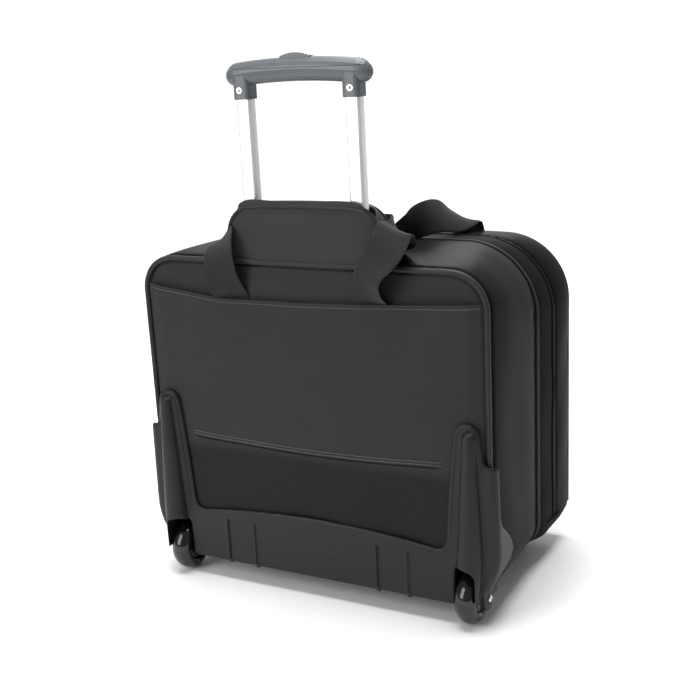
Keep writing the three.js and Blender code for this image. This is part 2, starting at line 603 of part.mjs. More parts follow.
// ---- zip sliders on the top of the case ----
const SLIDER = { x: 20, low: 387.6, high: 391, rear: 193, front: 207 };
for (const [name, side] of SIDES) {
  const x = side * SLIDER.x;
  const nose = new THREE.Shape();
  nose.moveTo(x - 3, SLIDER.rear);
  nose.lineTo(x + 3, SLIDER.rear);
  nose.lineTo(x + 5, SLIDER.rear + 5);
  nose.lineTo(x + 5, SLIDER.front);
  nose.lineTo(x - 5, SLIDER.front);
  nose.lineTo(x - 5, SLIDER.rear + 5);
  nose.closePath();
  const pin = { y: SLIDER.front - 1.8, z: SLIDER.high + 1.6 };
  const bridge = box(x - 1.4, x + 1.4, pin.y - 3, pin.y + 3, SLIDER.low + 1, pin.z + 2.6)
    .subtract(rod('x', 1.4, x - 5, x + 5, pin.y, pin.z, 16));
  add(`zip_slider_${name}`, slabXY(nose, SLIDER.low, SLIDER.high).add(bridge), STEEL);
  const loop = rod('x', 1, x - 4.4, x + 4.4, pin.y, pin.z, 12);
  const tab = box(x - 4.4, x - 2.4, pin.y - 1, pin.y + 10, pin.z - 0.9, pin.z + 0.9)
    .add(box(x + 2.4, x + 4.4, pin.y - 1, pin.y + 10, pin.z - 0.9, pin.z + 0.9))
    .add(box(x - 4.4, x + 4.4, pin.y + 6, pin.y + 32, pin.z - 0.9, pin.z + 0.9));
  add(`zip_pull_${name}`, loop.add(tab), STEEL);
}

export default group;
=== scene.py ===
# Looks of the rolling laptop case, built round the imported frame.
# Lengths are in millimetres with y = 0 on the rear welt, as in the part's source, and are placed by row().
import json
import math
import bpy
import bmesh
import numpy as np
from mathutils import Matrix, Vector


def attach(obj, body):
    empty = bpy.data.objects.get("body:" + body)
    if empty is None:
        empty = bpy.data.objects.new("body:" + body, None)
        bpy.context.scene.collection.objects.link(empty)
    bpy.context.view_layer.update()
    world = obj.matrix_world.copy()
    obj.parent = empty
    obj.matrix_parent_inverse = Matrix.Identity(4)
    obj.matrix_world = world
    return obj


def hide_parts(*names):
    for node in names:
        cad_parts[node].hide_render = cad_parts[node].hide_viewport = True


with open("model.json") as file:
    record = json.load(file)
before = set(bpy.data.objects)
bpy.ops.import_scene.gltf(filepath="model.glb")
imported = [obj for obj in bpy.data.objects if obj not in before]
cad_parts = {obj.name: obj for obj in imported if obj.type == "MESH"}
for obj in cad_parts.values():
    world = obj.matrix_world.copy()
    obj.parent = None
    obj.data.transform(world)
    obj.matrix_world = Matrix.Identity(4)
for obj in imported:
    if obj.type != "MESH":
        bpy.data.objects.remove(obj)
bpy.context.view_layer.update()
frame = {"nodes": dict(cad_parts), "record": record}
scene = bpy.context.scene

DEPTH_MIDDLE = 115.0   # y of the middle of the whole depth, which the row frame has at 0
SIDES = (("left", -1), ("right", 1))


def row(points):
    """Points in millimetres, y = 0 on the rear welt, as an array in the row frame in metres."""
    return (np.asarray(points, float) - (0, DEPTH_MIDDLE, 0)) * 0.001


# ---- camera ----
CAMERA_PLACE = (0.588, -1.1413, 0.6183)
CAMERA_AIM = (-0.454598, 0.851817, -0.260287)
CAMERA_ROLL = math.radians(3.01)
LENS = 60.0


def make_camera():
    camera = bpy.data.objects.new("camera", bpy.data.cameras.new("camera"))
    scene.collection.objects.link(camera)
    aim = Vector(CAMERA_AIM).normalized()
    level = aim.cross(Vector((0, 0, 1))).normalized()
    up = level.cross(aim) * math.cos(CAMERA_ROLL) + level * math.sin(CAMERA_ROLL)
    right = aim.cross(up)
    turn = Matrix((right, up, -aim)).transposed()
    camera.matrix_world = Matrix.Translation(CAMERA_PLACE) @ turn.to_4x4()
    camera.data.lens = LENS
    camera.data.sensor_width = 36.0
    camera.data.clip_start = 0.05
    camera.data.clip_end = 50.0
    scene.camera = camera


make_camera()


# ---- stage and light ----
def plain_material(name, colour, roughness):
    material = bpy.data.materials.new(name)
    material.use_nodes = True
    shader = material.node_tree.nodes["Principled BSDF"]
    shader.inputs["Base Color"].default_value = (*colour, 1)
    shader.inputs["Roughness"].default_value = roughness
    return material


FLOOR_RADIUS = 1.3


def make_stage():
    mesh = bpy.data.meshes.new("floor")
    turns = np.linspace(0, 2 * math.pi, 97)[:-1]
    mesh.from_pydata([(FLOOR_RADIUS * math.cos(a), FLOOR_RADIUS * math.sin(a), 0) for a in turns], [],
                     [tuple(range(len(turns)))])
    floor = bpy.data.objects.new("floor", mesh)
    mesh.materials.append(plain_material("pale_floor", (0.93, 0.93, 0.93), 0.9))
    scene.collection.objects.link(floor)


def area_light(name, place, aim, size, watts):
    data = bpy.data.lights.new(name, "AREA")
    data.shape = "RECTANGLE"
    data.size, data.size_y = size
    data.energy = watts
    light = bpy.data.objects.new(name, data)
    light.location = place
    light.rotation_euler = (Vector(aim) - Vector(place)).to_track_quat("-Z", "Y").to_euler()
    scene.collection.objects.link(light)


ROOM, BACKDROP = 0.3, 1.15


def make_light():
    """A pale backdrop beyond the object, a dimmer room round it, and two soft lights."""
    world = bpy.data.worlds.new("studio")
    world.use_nodes = True
    tree = world.node_tree
    background = tree.nodes["Background"]
    background.inputs["Strength"].default_value = 1.0
    towards = node(tree, "ShaderNodeVectorMath", operation="DOT_PRODUCT")
    towards.inputs[1].default_value = Vector(CAMERA_AIM).normalized()
    tree.links.new(node(tree, "ShaderNodeTexCoord").outputs["Generated"], towards.inputs[0])
    backdrop = ramp(tree, towards.outputs["Value"], 0.45, 0.75, (ROOM,) * 3, (BACKDROP,) * 3)
    tree.links.new(backdrop, background.inputs["Color"])
    scene.world = world
    area_light("overhead", (0.0, 0.1, 3.2), (0.0, 0.0, 0.3), (2.1, 1.8), 132)
    area_light("left_softbox", (-0.9, -1.8, 1.05), (0, -0.1, 0.4), (1.0, 1.6), 26)
    area_light("shoulder_light", (-0.72, 1.75, 1.22), (0.1, 0.0, 0.39), (1.3, 0.45), 9)


scene.view_settings.view_transform = "Standard"


# ---- materials ----
def nodes_of(name):
    material = bpy.data.materials.new(name)
    material.use_nodes = True
    tree = material.node_tree
    return material, tree, tree.nodes["Principled BSDF"]


def node(tree, kind, **values):
    made = tree.nodes.new(kind)
    for key, value in values.items():
        if key in made.inputs:
            made.inputs[key].default_value = value
        else:
            setattr(made, key, value)
    return made


def math_node(tree, operation, first, second=None):
    made = node(tree, "ShaderNodeMath", operation=operation)
    for socket, value in zip(made.inputs, (first, second)):
        if isinstance(value, (int, float)):
            socket.default_value = value
        elif value is not None:
            tree.links.new(value, socket)
    return made.outputs[0]


def times(tree, first, second):
    return math_node(tree, "MULTIPLY", first, second)


def plus(tree, first, second):
    return math_node(tree, "ADD", first, second)


def sine(tree, value):
    return math_node(tree, "SINE", value)


def parts_of(tree, vector):
    made = node(tree, "ShaderNodeSeparateXYZ")
    tree.links.new(vector, made.inputs[0])
    return made.outputs


def ramp(tree, source, low, high, dark, light):
    """A colour that goes from dark at low to light at high."""
    made = tree.nodes.new("ShaderNodeValToRGB")
    made.color_ramp.elements[0].position = low
    made.color_ramp.elements[1].position = high
    made.color_ramp.elements[0].color = (*dark, 1)
    made.color_ramp.elements[1].color = (*light, 1)
    tree.links.new(source, made.inputs["Fac"])
    return made.outputs["Color"]


def noise_of(tree, vector, scale, detail=2.0):
    made = node(tree, "ShaderNodeTexNoise", Scale=scale, Detail=detail)
    tree.links.new(vector, made.inputs["Vector"])
    return made.outputs["Fac"]


def mapped(tree, source, scale):
    made = node(tree, "ShaderNodeMapping", Scale=scale)
    tree.links.new(source, made.inputs["Vector"])
    return made.outputs["Vector"]


def bump(tree, shader, height, strength, distance):
    made = node(tree, "ShaderNodeBump", Strength=strength, Distance=distance)
    tree.links.new(height, made.inputs["Height"])
    tree.links.new(made.outputs["Normal"], shader.inputs["Normal"])


def vary_roughness(tree, shader, source, low, high):
    made = node(tree, "ShaderNodeMapRange", **{"To Min": low, "To Max": high})
    tree.links.new(source, made.inputs["Value"])
    tree.links.new(made.outputs["Result"], shader.inputs["Roughness"])


def set_inputs(shader, values):
    for key, value in values.items():
        shader.inputs[key].default_value = value


def tones(colour, dark, light):
    """The colour made darker and lighter by two factors."""
    return tuple(c * dark for c in colour), tuple(c * light for c in colour)


def plain_weave(tree, surface, pitch):
    """Height of a plain weave, over and under, on surface coordinates in metres."""
    wobble = times(tree, noise_of(tree, surface, 900.0, 1.0), 2.2)
    waves = [sine(tree, plus(tree, times(tree, place, math.pi / pitch), wobble))
             for place in parts_of(tree, surface)[:2]]
    return plus(tree, times(tree, times(tree, *waves), 0.5), 0.5)


def painted_shade_factor(tree, height, least):
    """A factor for painted shade: 1 above a height in metres, falling to least just below it."""
    made = node(tree, "ShaderNodeMapRange")
    set_inputs(made, {"From Min": height - 0.012, "From Max": height, "To Min": least, "To Max": 1.0})
    place = node(tree, "ShaderNodeNewGeometry").outputs["Position"]
    tree.links.new(parts_of(tree, place)[2], made.inputs["Value"])
    return made.outputs["Result"]


def woven(name, colour, pitch=0.0006, roughness=(0.62, 0.8), sheen=0.25, depth=0.00012, slub=0.35, gloss=0.35,
          painted_shade_below=None):
    """Woven nylon: threads, slubs along both directions, slight unevenness of dye, and a fibre sheen.
    Its last argument, a height in metres and a share, paints shade: under that height the colour and the
    sheen fall to that share."""
    material, tree, shader = nodes_of(name)
    surface = node(tree, "ShaderNodeTexCoord").outputs["UV"]
    slubs = [noise_of(tree, mapped(tree, surface, stretch), 1.0, 2.0)
             for stretch in ((260, 1500, 1), (1500, 260, 1))]
    threads = times(tree, plus(tree, *slubs), slub)
    height = plus(tree, plain_weave(tree, surface, pitch), threads)
    cloudy = noise_of(tree, surface, 14.0, 3.0)
    tone = plus(tree, times(tree, height, 0.55), times(tree, cloudy, 0.5))
    dye_and_painted_shade = ramp(tree, tone, 0.3, 0.95, *tones(colour, 0.72, 1.3))
    set_inputs(shader, {"Specular IOR Level": gloss, "Sheen Weight": sheen, "Sheen Roughness": 0.45,
                        "Sheen Tint": (0.5, 0.5, 0.52, 1)})
    # Painted shade: below the given height the colour and the sheen are darkened.
    if painted_shade_below:
        factor = painted_shade_factor(tree, *painted_shade_below)
        scaled = node(tree, "ShaderNodeVectorMath", operation="SCALE")
        tree.links.new(dye_and_painted_shade, scaled.inputs[0])
        tree.links.new(factor, scaled.inputs["Scale"])
        dye_and_painted_shade = scaled.outputs[0]
        tree.links.new(times(tree, factor, sheen), shader.inputs["Sheen Weight"])
    tree.links.new(dye_and_painted_shade, shader.inputs["Base Color"])
    vary_roughness(tree, shader, threads, *roughness)
    bump(tree, shader, height, 0.5, depth)
    return material


RIB_PITCH, CORD_PITCH = 0.0026, 0.0014


def webbing_material(name, colour):
    """Flat webbing: a diagonal twill rib crossed by lengthwise cords."""
    material, tree, shader = nodes_of(name)
    surface = node(tree, "ShaderNodeTexCoord").outputs["UV"]
    across, along = parts_of(tree, surface)[:2]
    slant = plus(tree, times(tree, across, 1.1), along)
    ribs = sine(tree, times(tree, slant, 2 * math.pi / RIB_PITCH))
    cords = sine(tree, times(tree, across, 2 * math.pi / CORD_PITCH))
    fibres = noise_of(tree, mapped(tree, surface, (1400, 500, 1)), 1.0, 3.0)
    height = plus(tree, plus(tree, times(tree, ribs, 0.36), times(tree, cords, 0.1)), fibres)
    tree.links.new(ramp(tree, height, 0.1, 0.95, *tones(colour, 0.35, 1.7)), shader.inputs["Base Color"])
    vary_roughness(tree, shader, fibres, 0.7, 0.95)
    set_inputs(shader, {"Specular IOR Level": 0.25, "Sheen Weight": 0.25, "Sheen Roughness": 0.4,
                        "Sheen Tint": (0.45, 0.46, 0.46, 1)})
    bump(tree, shader, height, 0.8, 0.0005)
    return material


def moulded(name, colour, roughness, depth=0.00006, coat=0.0, strength=0.5, gloss=0.5):
    """Injection-moulded plastic: a fine etched grain and faint rubbed patches."""
    material, tree, shader = nodes_of(name)
    place = node(tree, "ShaderNodeTexCoord").outputs["Object"]
    grains = noise_of(tree, place, 2600.0, 2.0)
    patches = noise_of(tree, place, 38.0, 3.0)
    tree.links.new(ramp(tree, patches, 0.3, 0.7, *tones(colour, 0.9, 1.12)), shader.inputs["Base Color"])
    vary_roughness(tree, shader, plus(tree, times(tree, grains, 0.5), times(tree, patches, 0.5)), *roughness)
    set_inputs(shader, {"Specular IOR Level": gloss, "Coat Weight": coat, "Coat Roughness": 0.06})
    bump(tree, shader, grains, strength, depth)
    return material


def metal(name, colour, roughness, direction=(1800, 1800, 12), metallic=1.0):
    """Drawn or turned metal: fine lines along one direction."""
    material, tree, shader = nodes_of(name)
    place = node(tree, "ShaderNodeTexCoord").outputs["Object"]
    lines = noise_of(tree, mapped(tree, place, direction), 1.0, 3.0)
    tree.links.new(ramp(tree, lines, 0.3, 0.7, *tones(colour, 0.94, 1.0)), shader.inputs["Base Color"])
    vary_roughness(tree, shader, lines, *roughness)
    set_inputs(shader, {"Metallic": metallic})
    bump(tree, shader, lines, 0.15, 0.00002)
    return material


PANEL_CLOTH = woven("panel_cloth", (0.0185, 0.018, 0.019), sheen=0.16, gloss=0.22, slub=0.2)
# Painted shade on the pocket's lower bag: its colour and sheen fall to 0.3 of their value from the lapped
# seam, at 0.172 m, down.
POCKET_CLOTH = woven("pocket_cloth", (0.0185, 0.018, 0.019), sheen=0.16, gloss=0.22, slub=0.2,
                     painted_shade_below=(0.172, 0.3))
GUSSET_CLOTH = woven("gusset_cloth", (0.009, 0.009, 0.0102), pitch=0.0005, roughness=(0.32, 0.44), sheen=0.0,
                     depth=0.00005, gloss=0.012)
BAND_CLOTH = woven("band_cloth", (0.0075, 0.0075, 0.0085), pitch=0.0005, roughness=(0.4, 0.55), sheen=0.0,
                   gloss=0.006)
POUCH_CLOTH = woven("pouch_cloth", (0.024, 0.0235, 0.0255), sheen=0.2, gloss=0.25)
WELT_TAPE = woven("welt_tape", (0.024, 0.024, 0.026), pitch=0.0004, roughness=(0.4, 0.55), sheen=0.05,
                  depth=0.00004, gloss=0.15)
ZIP_TAPE = woven("zip_tape_twill", (0.012, 0.012, 0.013), pitch=0.0005, roughness=(0.7, 0.85), sheen=0.15)
LINING = woven("lining_cloth", (0.06, 0.062, 0.066), pitch=0.0005, roughness=(0.6, 0.75), sheen=0.2)
THREAD = woven("sewing_thread", (0.1, 0.1, 0.104), pitch=0.0002, roughness=(0.45, 0.6), sheen=0.2)
WEBBING = webbing_material("ribbed_webbing", (0.0175, 0.018, 0.0175))
BASE_PLASTIC = moulded("base_moulding", (0.0105, 0.0102, 0.0105), (0.42, 0.55), gloss=0.28)
GRIP_PLASTIC = moulded("grip_moulding", (0.1, 0.109, 0.12), (0.3, 0.4), depth=0.00003, strength=0.3)
HUB_PLASTIC = moulded("hub_moulding", (0.012, 0.012, 0.013), (0.2, 0.3), depth=0.00003)
TREAD = moulded("cast_tread", (0.004, 0.004, 0.005), (0.1, 0.16), depth=0.00001, coat=0.12, strength=0.1)
ALUMINIUM = metal("anodised_aluminium", (0.96, 0.965, 0.97), (0.24, 0.36), metallic=0.7)
STEEL = metal("plated_steel", (0.7, 0.7, 0.71), (0.24, 0.34), direction=(40, 1500, 1500))
ZIP_METAL = metal("black_plated_metal", (0.05, 0.05, 0.052), (0.25, 0.4), direction=(900, 200, 900))


make_stage()
make_light()


# ---- mesh tools ----
SHARP = 38.0           # angle in degrees from which an edge is shaded as a sharp one


def make_piece(name, points, faces, material, body, hides=(), slot=None, uv=None, sharp=SHARP):
    """One named mesh that rides on a body. points are in millimetres; uv gives two numbers for each point."""
    mesh = bpy.data.meshes.new(name)
    mesh.from_pydata([tuple(p) for p in row(points)], [], faces)
    if uv is not None:
        layer = mesh.uv_layers.new(name="surface")
        corners = np.empty(len(mesh.loops), dtype=np.int32)
        mesh.loops.foreach_get("vertex_index", corners)
        layer.data.foreach_set("uv", (np.asarray(uv, float)[corners] * 0.001).ravel())
    mesh.materials.append(material)
    piece = bpy.data.objects.new(name, mesh)
    scene.collection.objects.link(piece)
    tidy(mesh, sharp)
    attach(piece, body)
    if hides:
        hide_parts(*hides)
    return piece


def tidy(mesh, sharp=SHARP):
    """Turns the faces outwards and shades them smooth between sharp edges."""
    work = bmesh.new()
    work.from_mesh(mesh)
    bmesh.ops.recalc_face_normals(work, faces=work.faces)
    work.to_mesh(mesh)
    work.free()
    mesh.shade_smooth()
    mesh.set_sharp_from_angle(angle=math.radians(sharp))


def grid_faces(rows, columns, wrap_rows=False, wrap_columns=False, first=0):
    """Quads of a grid of points numbered row by row from first."""
    faces = []
    for i in range(rows if wrap_rows else rows - 1):
        for j in range(columns if wrap_columns else columns - 1):
            k, m = (i + 1) % rows, (j + 1) % columns
            faces.append((first + i * columns + j, first + k * columns + j, first + k * columns + m,
                          first + i * columns + m))
    return faces


def lengths(points):
    """Distance along a line of points, from its first."""
    return np.concatenate([[0], np.cumsum(np.linalg.norm(np.diff(points, axis=0), axis=1))])


def swept_faces(loops, closed):
    """Faces of a solid through loops of points. Its ends are capped if it isn't closed on itself."""
    stations, count = loops.shape[:2]
    faces = grid_faces(stations, count, closed, True)
    if not closed:
        faces.append(tuple(range(count)))
        faces.append(tuple(range(stations * count - 1, (stations - 1) * count - 1, -1)))
    return faces


def ring_piece(name, loops, material, body, closed=False, **more):
    """A solid swept through loops, an array of stations x loop points x 3."""
    loops = np.asarray(loops, float)
    along = lengths(loops.mean(axis=1))
    around = lengths(loops[len(loops) // 2])
    uv = np.stack(np.meshgrid(along, around, indexing="ij"), axis=-1).reshape(-1, 2)
    return make_piece(name, loops.reshape(-1, 3), swept_faces(loops, closed), material, body, uv=uv, **more)


def upright(x, y, z):
    """A grid of points from x and z, at one depth or at a depth for each."""
    return np.stack([x, np.broadcast_to(y, x.shape), z], axis=-1)


def sheet_piece(name, front, back, material, body, **more):
    """A solid between two grids of points of the same shape, joined round their rims."""
    rows, columns = front.shape[:2]
    points = np.concatenate([front.reshape(-1, 3), back.reshape(-1, 3)])
    half = rows * columns
    faces = grid_faces(rows, columns)
    faces += [tuple(reversed(f)) for f in grid_faces(rows, columns, first=half)]
    rim = list(range(columns)) + [i * columns + columns - 1 for i in range(1, rows)]
    rim += [(rows - 1) * columns + j for j in range(columns - 2, -1, -1)]
    rim += [i * columns for i in range(rows - 2, 0, -1)]
    for a, b in zip(rim, rim[1:] + rim[:1]):
        faces.append((b, a, a + half, b + half))
    flat = front[..., (0, 2)].reshape(-1, 2)
    return make_piece(name, points, faces, material, body, uv=np.concatenate([flat, flat]), **more)


def evaluated(piece):
    """Applies the piece's modifiers to its mesh."""
    graph = bpy.context.evaluated_depsgraph_get()
    mesh = bpy.data.meshes.new_from_object(piece.evaluated_get(graph), depsgraph=graph)
    piece.modifiers.clear()
    old = piece.data
    piece.data = mesh
    bpy.data.meshes.remove(old)
    mesh.shade_smooth()
    mesh.set_sharp_from_angle(angle=math.radians(SHARP))


def boolean(piece, tool, operation="DIFFERENCE"):
    step = piece.modifiers.new("cut", "BOOLEAN")
    step.object = tool
    step.operation = operation
    step.solver = "EXACT"
    evaluated(piece)
    bpy.data.objects.remove(tool)


def prism(name, corners, depths):
    """A bare solid for cutting: an outline of (x, z) drawn out between two depths. boolean() removes it."""
    loops = np.array([[(x, y, z) for x, z in corners] for y in depths])
    mesh = bpy.data.meshes.new(name)
    mesh.from_pydata([tuple(p) for p in row(loops.reshape(-1, 3))], [], swept_faces(loops, False))
    tidy(mesh)
    made = bpy.data.objects.new(name, mesh)
    scene.collection.objects.link(made)
    return made


def arc(centre, radius, start, end, steps):
    """Points of an arc in a plane, with angles in degrees."""
    turn = np.radians(np.linspace(start, end, steps + 1))
    return [(centre[0] + radius * math.cos(a), centre[1] + radius * math.sin(a)) for a in turn]


def round_loop(y, grow, y_radius, grow_radius, step):
    """A closed profile of (y, growth) on an ellipse, with a point every step degrees."""
    return [(y + y_radius * math.sin(a), grow + grow_radius * math.cos(a))
            for a in np.radians(np.arange(0, 360, step))]


WAVES = 9


def ripples(u, v, seed, low, high):
    """A gentle unevenness between about -1 and 1, with wavelengths from low to high."""
    draw = np.random.default_rng(seed)
    total = np.zeros(np.broadcast(u, v).shape)
    for _ in range(WAVES):
        turn, phase = draw.uniform(0, 2 * math.pi, 2)
        size = 2 * math.pi / draw.uniform(low, high)
        total += np.sin((u * math.cos(turn) + v * math.sin(turn)) * size + phase)
    return total / math.sqrt(WAVES)


def smooth(t):
    """Rises from 0 to 1 as t does, level at both ends."""
    t = np.clip(t, 0, 1)
    return t * t * (3 - 2 * t)


STITCH_LENGTH, STITCH_WIDTH, STITCH_HEIGHT = 2.5, 1.1, 0.7
STITCH_SHAPE = ((-0.5, 0.0), (-0.3, 0.8), (0.0, 1.0), (0.3, 0.8), (0.5, 0.0))


def stitches(name, line, pitch):
    """A row of sewn stitches along a line of points on the wheel side."""
    run = lengths(line)
    count = int(run[-1] / pitch)
    points, faces = [], []
    lift = np.array((0.0, -1.0, 0.0))

    def at(place):
        return np.array([np.interp(place, run, line[:, k]) for k in range(3)])
    for place in (np.arange(count) + 0.5) * run[-1] / count:
        centre, step = at(place), at(place + 0.5) - at(place - 0.5)
        forward = step / np.linalg.norm(step)
        side = np.cross(forward, lift)
        first = len(points)
        for along, full in STITCH_SHAPE:
            ring_size = 0.25 + 0.75 * full
            for turn in np.radians((0, 60, 120, 180, 240, 300)):
                points.append(centre + forward * along * STITCH_LENGTH
                              + side * math.cos(turn) * STITCH_WIDTH / 2 * ring_size
                              + lift * (math.sin(turn) * STITCH_HEIGHT * ring_size + 0.1 * full))
        faces += grid_faces(len(STITCH_SHAPE), 6, False, True, first)
        faces.append(tuple(first + k for k in range(6)))
        faces.append(tuple(first + (len(STITCH_SHAPE) - 1) * 6 + k for k in range(5, -1, -1)))
    return make_piece(name, points, faces, THREAD, "case", slot="piping", uv=np.asarray(points)[:, (0, 2)])


# ---- body outline ----
# Cross-section at a few depths: y, half width, bottom, top, lower corner radius, upper corner radius.
SECTIONS = np.array([
    (0, 210.0, 28.6, 388.0, 44, 42),
    (133, 212.0, 27.2, 390.8, 39, 78),
    (146, 212.4, 27.0, 389.6, 35, 81),
    (172, 213.2, 26.8, 387.4, 23, 83),
    (200, 214.0, 26.6, 385.0, 22, 86),
    (250, 215.6, 26.2, 380.0, 22, 75)])
SPLIT = 70.0           # height where the zip ends and the lid folds
STRAIGHT, CORNER = 44, 18   # points on a straight side and round a corner
WALL = 3.6             # thickness of the padded cloth
WHEEL_X, WHEEL_Y, WHEEL_Z = 182.0, 6.0, 30.0
ARCH_HALF, ARCH_TOP, ARCH_CORNER = 14.0, 73.0, 12.0   # the arch over each wheel
TUBE_X, TUBE_Y = 64.3, 13.4
INNER_FACE = -2        # a growth below this is on the cloth's inner face, which stays even


def section_at(y, inset=0.0):
    """Half width, bottom, top and the two corner radii at depth y, drawn in by inset."""
    half, low, high, *corners = (np.interp(y, SECTIONS[:, 0], column) for column in SECTIONS.T[1:])
    return half - inset, low + inset, high - inset, corners[0] - inset, corners[1] - inset


def half_outline(y, grow, low_end, high_end):
    """Right half of the outline at depth y, grown by grow, from its lowest to its highest part that lies
    between the two heights. Gives x, z and the outward direction of each point."""
    half, low, high, low_corner, high_corner = section_at(y, -grow)
    rows = []
    if low_end is None:
        for t in np.linspace(0, 1, STRAIGHT, endpoint=False):
            rows.append((t * (half - low_corner), low, 0.0, -1.0))
        start = -90.0
    else:
        start = math.degrees(math.asin(max(-1, min(0, (low_end - low - low_corner) / low_corner))))
    stop = 0.0
    if high_end is not None and high_end < low + low_corner:
        stop = math.degrees(math.asin((high_end - low - low_corner) / low_corner))
    for a in np.radians(np.linspace(start, stop, CORNER)):
        c, s = math.cos(a), math.sin(a)
        rows.append((half - low_corner + low_corner * c, low + low_corner + low_corner * s, c, s))
    if high_end is not None:
        return np.array(rows)
    for t in np.linspace(0, 1, STRAIGHT + 1)[1:-1]:
        rows.append((half, low + low_corner + t * (high - high_corner - low - low_corner), 1.0, 0.0))
    for a in np.radians(np.linspace(0, 90, CORNER + 6)):
        c, s = math.cos(a), math.sin(a)
        rows.append((half - high_corner + high_corner * c, high - high_corner + high_corner * s, c, s))
    for t in np.linspace(0, 1, STRAIGHT + 1)[1:]:
        rows.append(((1 - t) * (half - high_corner), high, 0.0, 1.0))
    return np.array(rows)


def outline(y, grow=0.0, low_end=None, high_end=None):
    """The outline at depth y: all round, or from low_end up and over, or from high_end down and under."""
    right = half_outline(y, grow, low_end, high_end)
    left = right * (-1, 1, -1, 1)
    if high_end is not None:
        return np.concatenate([right[::-1], left[1:]])
    return np.concatenate([right, left[-2::-1] if low_end is not None else left[-2:0:-1]])


def swept_band(name, profile, material, body, low_end=None, high_end=None, relief=None, **more):
    """A band round the body: profile is a closed list of (y, growth), swept along the outline.
    relief(x, z, y, growth) adds to the growth."""
    loops = []
    for y, grow in profile:
        track = outline(y, grow, low_end, high_end)
        if relief is not None:
            lift = relief(track[:, 0], track[:, 1], y, grow)
            track[:, :2] += track[:, 2:] * np.asarray(lift)[:, None]
        loops.append(np.stack([track[:, 0], np.full(len(track), y), track[:, 1]], axis=1))
    whole = low_end is None and high_end is None
    return ring_piece(name, np.stack(loops, axis=1), material, body, closed=whole, **more)


def clear_of_wheels(piece):
    """Cuts the two wheel arches out of a piece."""
    gap = 6.2
    half, high, corner = ARCH_HALF + gap, ARCH_TOP + gap, ARCH_CORNER + gap
    outer = [(-half, 5.0), (half, 5.0)] + arc((half - corner, high - corner), corner, 0, 90, 8)
    outer += arc((-half + corner, high - corner), corner, 90, 180, 8)
    for _, side in SIDES:
        boolean(piece, prism("wheel_arch", [(side * WHEEL_X + side * x, z) for x, z in outer], (-40.0, 42.0)))


def slack(amount, seed, longest, under=False):
    """Relief for swept_band: soft swells of the outer cloth, round the sides or under the case."""
    def relief(x, z, y, grow):
        u, v = (x, z + y) if under else (x + z, y + 0 * x)
        return amount * ripples(u, v, seed, 50, longest) if grow > INNER_FACE else 0 * x
    return relief


# ---- case body in cloth ----
def gusset_relief(x, z, y, grow):
    """Slack in the gusset: puckers that fade away from its two seams, and long soft swells."""
    around = np.arctan2(z - 208.0, x) * 200.0
    seam = math.exp(-abs(y - 3.0) / 9.0) + math.exp(-abs(y - 132.0) / 8.0)
    pucker = 0.28 * seam * ripples(around, np.full_like(around, y * 0.3), 11, 9.0, 22.0)
    middle = math.sin(math.pi * np.clip(y / 133.0, 0, 1))
    swell = 0.55 * middle * ripples(around, np.full_like(around, y), 12, 70, 190)
    return pucker + swell if grow > INNER_FACE else 0.0 * around


def main_gusset():
    """The smooth band of padded cloth round the sides, crowned between the welt and the bound seam."""
    outside = [(2.2, -6.4), (3.1, -5.4), (4.2, -2.8), (5.4, -1.0)]
    for y in np.linspace(7.0, 128.0, 32):
        t = (y - 4.5) / 128.5
        outside.append((y, 2.8 * math.sin(math.pi * t) ** 0.6 - 0.6))
    outside += [(131.0, 0.0), (132.6, -0.9), (133.4, -1.0), (134.0, 0.2), (134.8, 0.9), (137.0, 1.1),
                (140.0, 1.0), (143.4, 1.1), (145.0, 0.7), (145.8, -0.4), (145.9, -1.4)]
    inside = [(y, -WALL) for y in (145.9, 133.0, 100.0, 66.0, 33.0, 9.0)] + [(2.2, -8.2)]
    piece = swept_band("main_gusset_cloth", outside + inside, GUSSET_CLOTH, "case", relief=gusset_relief,
                       hides=("main_gusset",), slot="body_fabric")
    clear_of_wheels(piece)
    for _, side in SIDES:
        slot = [(side * TUBE_X + dx, z) for dx, z in ((-12, 370), (12, 370), (12, 400), (-12, 400))]
        boolean(piece, prism("tube_hole", slot, (2.6, 24.2)))


WELT_RADIUS = 3.0


def rear_welt():
    """The corded welt that joins the gusset to the rear panel."""
    loop = round_loop(-1.0, -3.3, WELT_RADIUS, WELT_RADIUS, 20)
    swept_band("rear_welt", loop, WELT_TAPE, "case", low_end=82.0, hides=("rear_piping",), slot="piping",
               relief=lambda x, z, y, g: 0.12 * ripples(x, z, 21, 12, 40))


def panel_half_width(z, inset):
    """Half width of the rear panel's rounded outline at a height."""
    half, low, high, low_corner, high_corner = section_at(0, inset)
    width = np.full_like(z, half)
    under, over = z < low + low_corner, z > high - high_corner
    drop = np.clip(low + low_corner - z, 0, low_corner)
    rise = np.clip(z - high + high_corner, 0, high_corner)
    width[under] = half - low_corner + np.sqrt(np.maximum(low_corner**2 - drop[under]**2, 0))
    width[over] = half - high_corner + np.sqrt(np.maximum(high_corner**2 - rise[over]**2, 0))
    return width


def panel_grid(low, high, inset, columns, level, top=None):
    """Points of an upright panel from height low to high, or to top(x), inside the rear outline.
    level gives the rows' heights as shares."""
    share = np.linspace(-1, 1, columns)
    z = low + level[:, None] * (high - low) + 0 * share[None, :]
    x = share[None, :] * panel_half_width(z[:, 0], inset)[:, None]
    if top is not None:
        z = low + level[:, None] * (top(x) - low)
        x = share[None, :] * panel_half_width(z.ravel(), inset).reshape(z.shape)
    return x, z


def edge_distance(x, z, inset):
    """Roughly how far points of the rear panel are from its rounded outline drawn in by inset."""
    half, _, high, _, corner = section_at(0, inset)
    over_x = np.maximum(np.abs(x) - (half - corner), 0)
    over_z = np.maximum(z - (high - corner), 0)
    return corner - np.hypot(over_x, over_z)


PANEL_INSET = 4.6


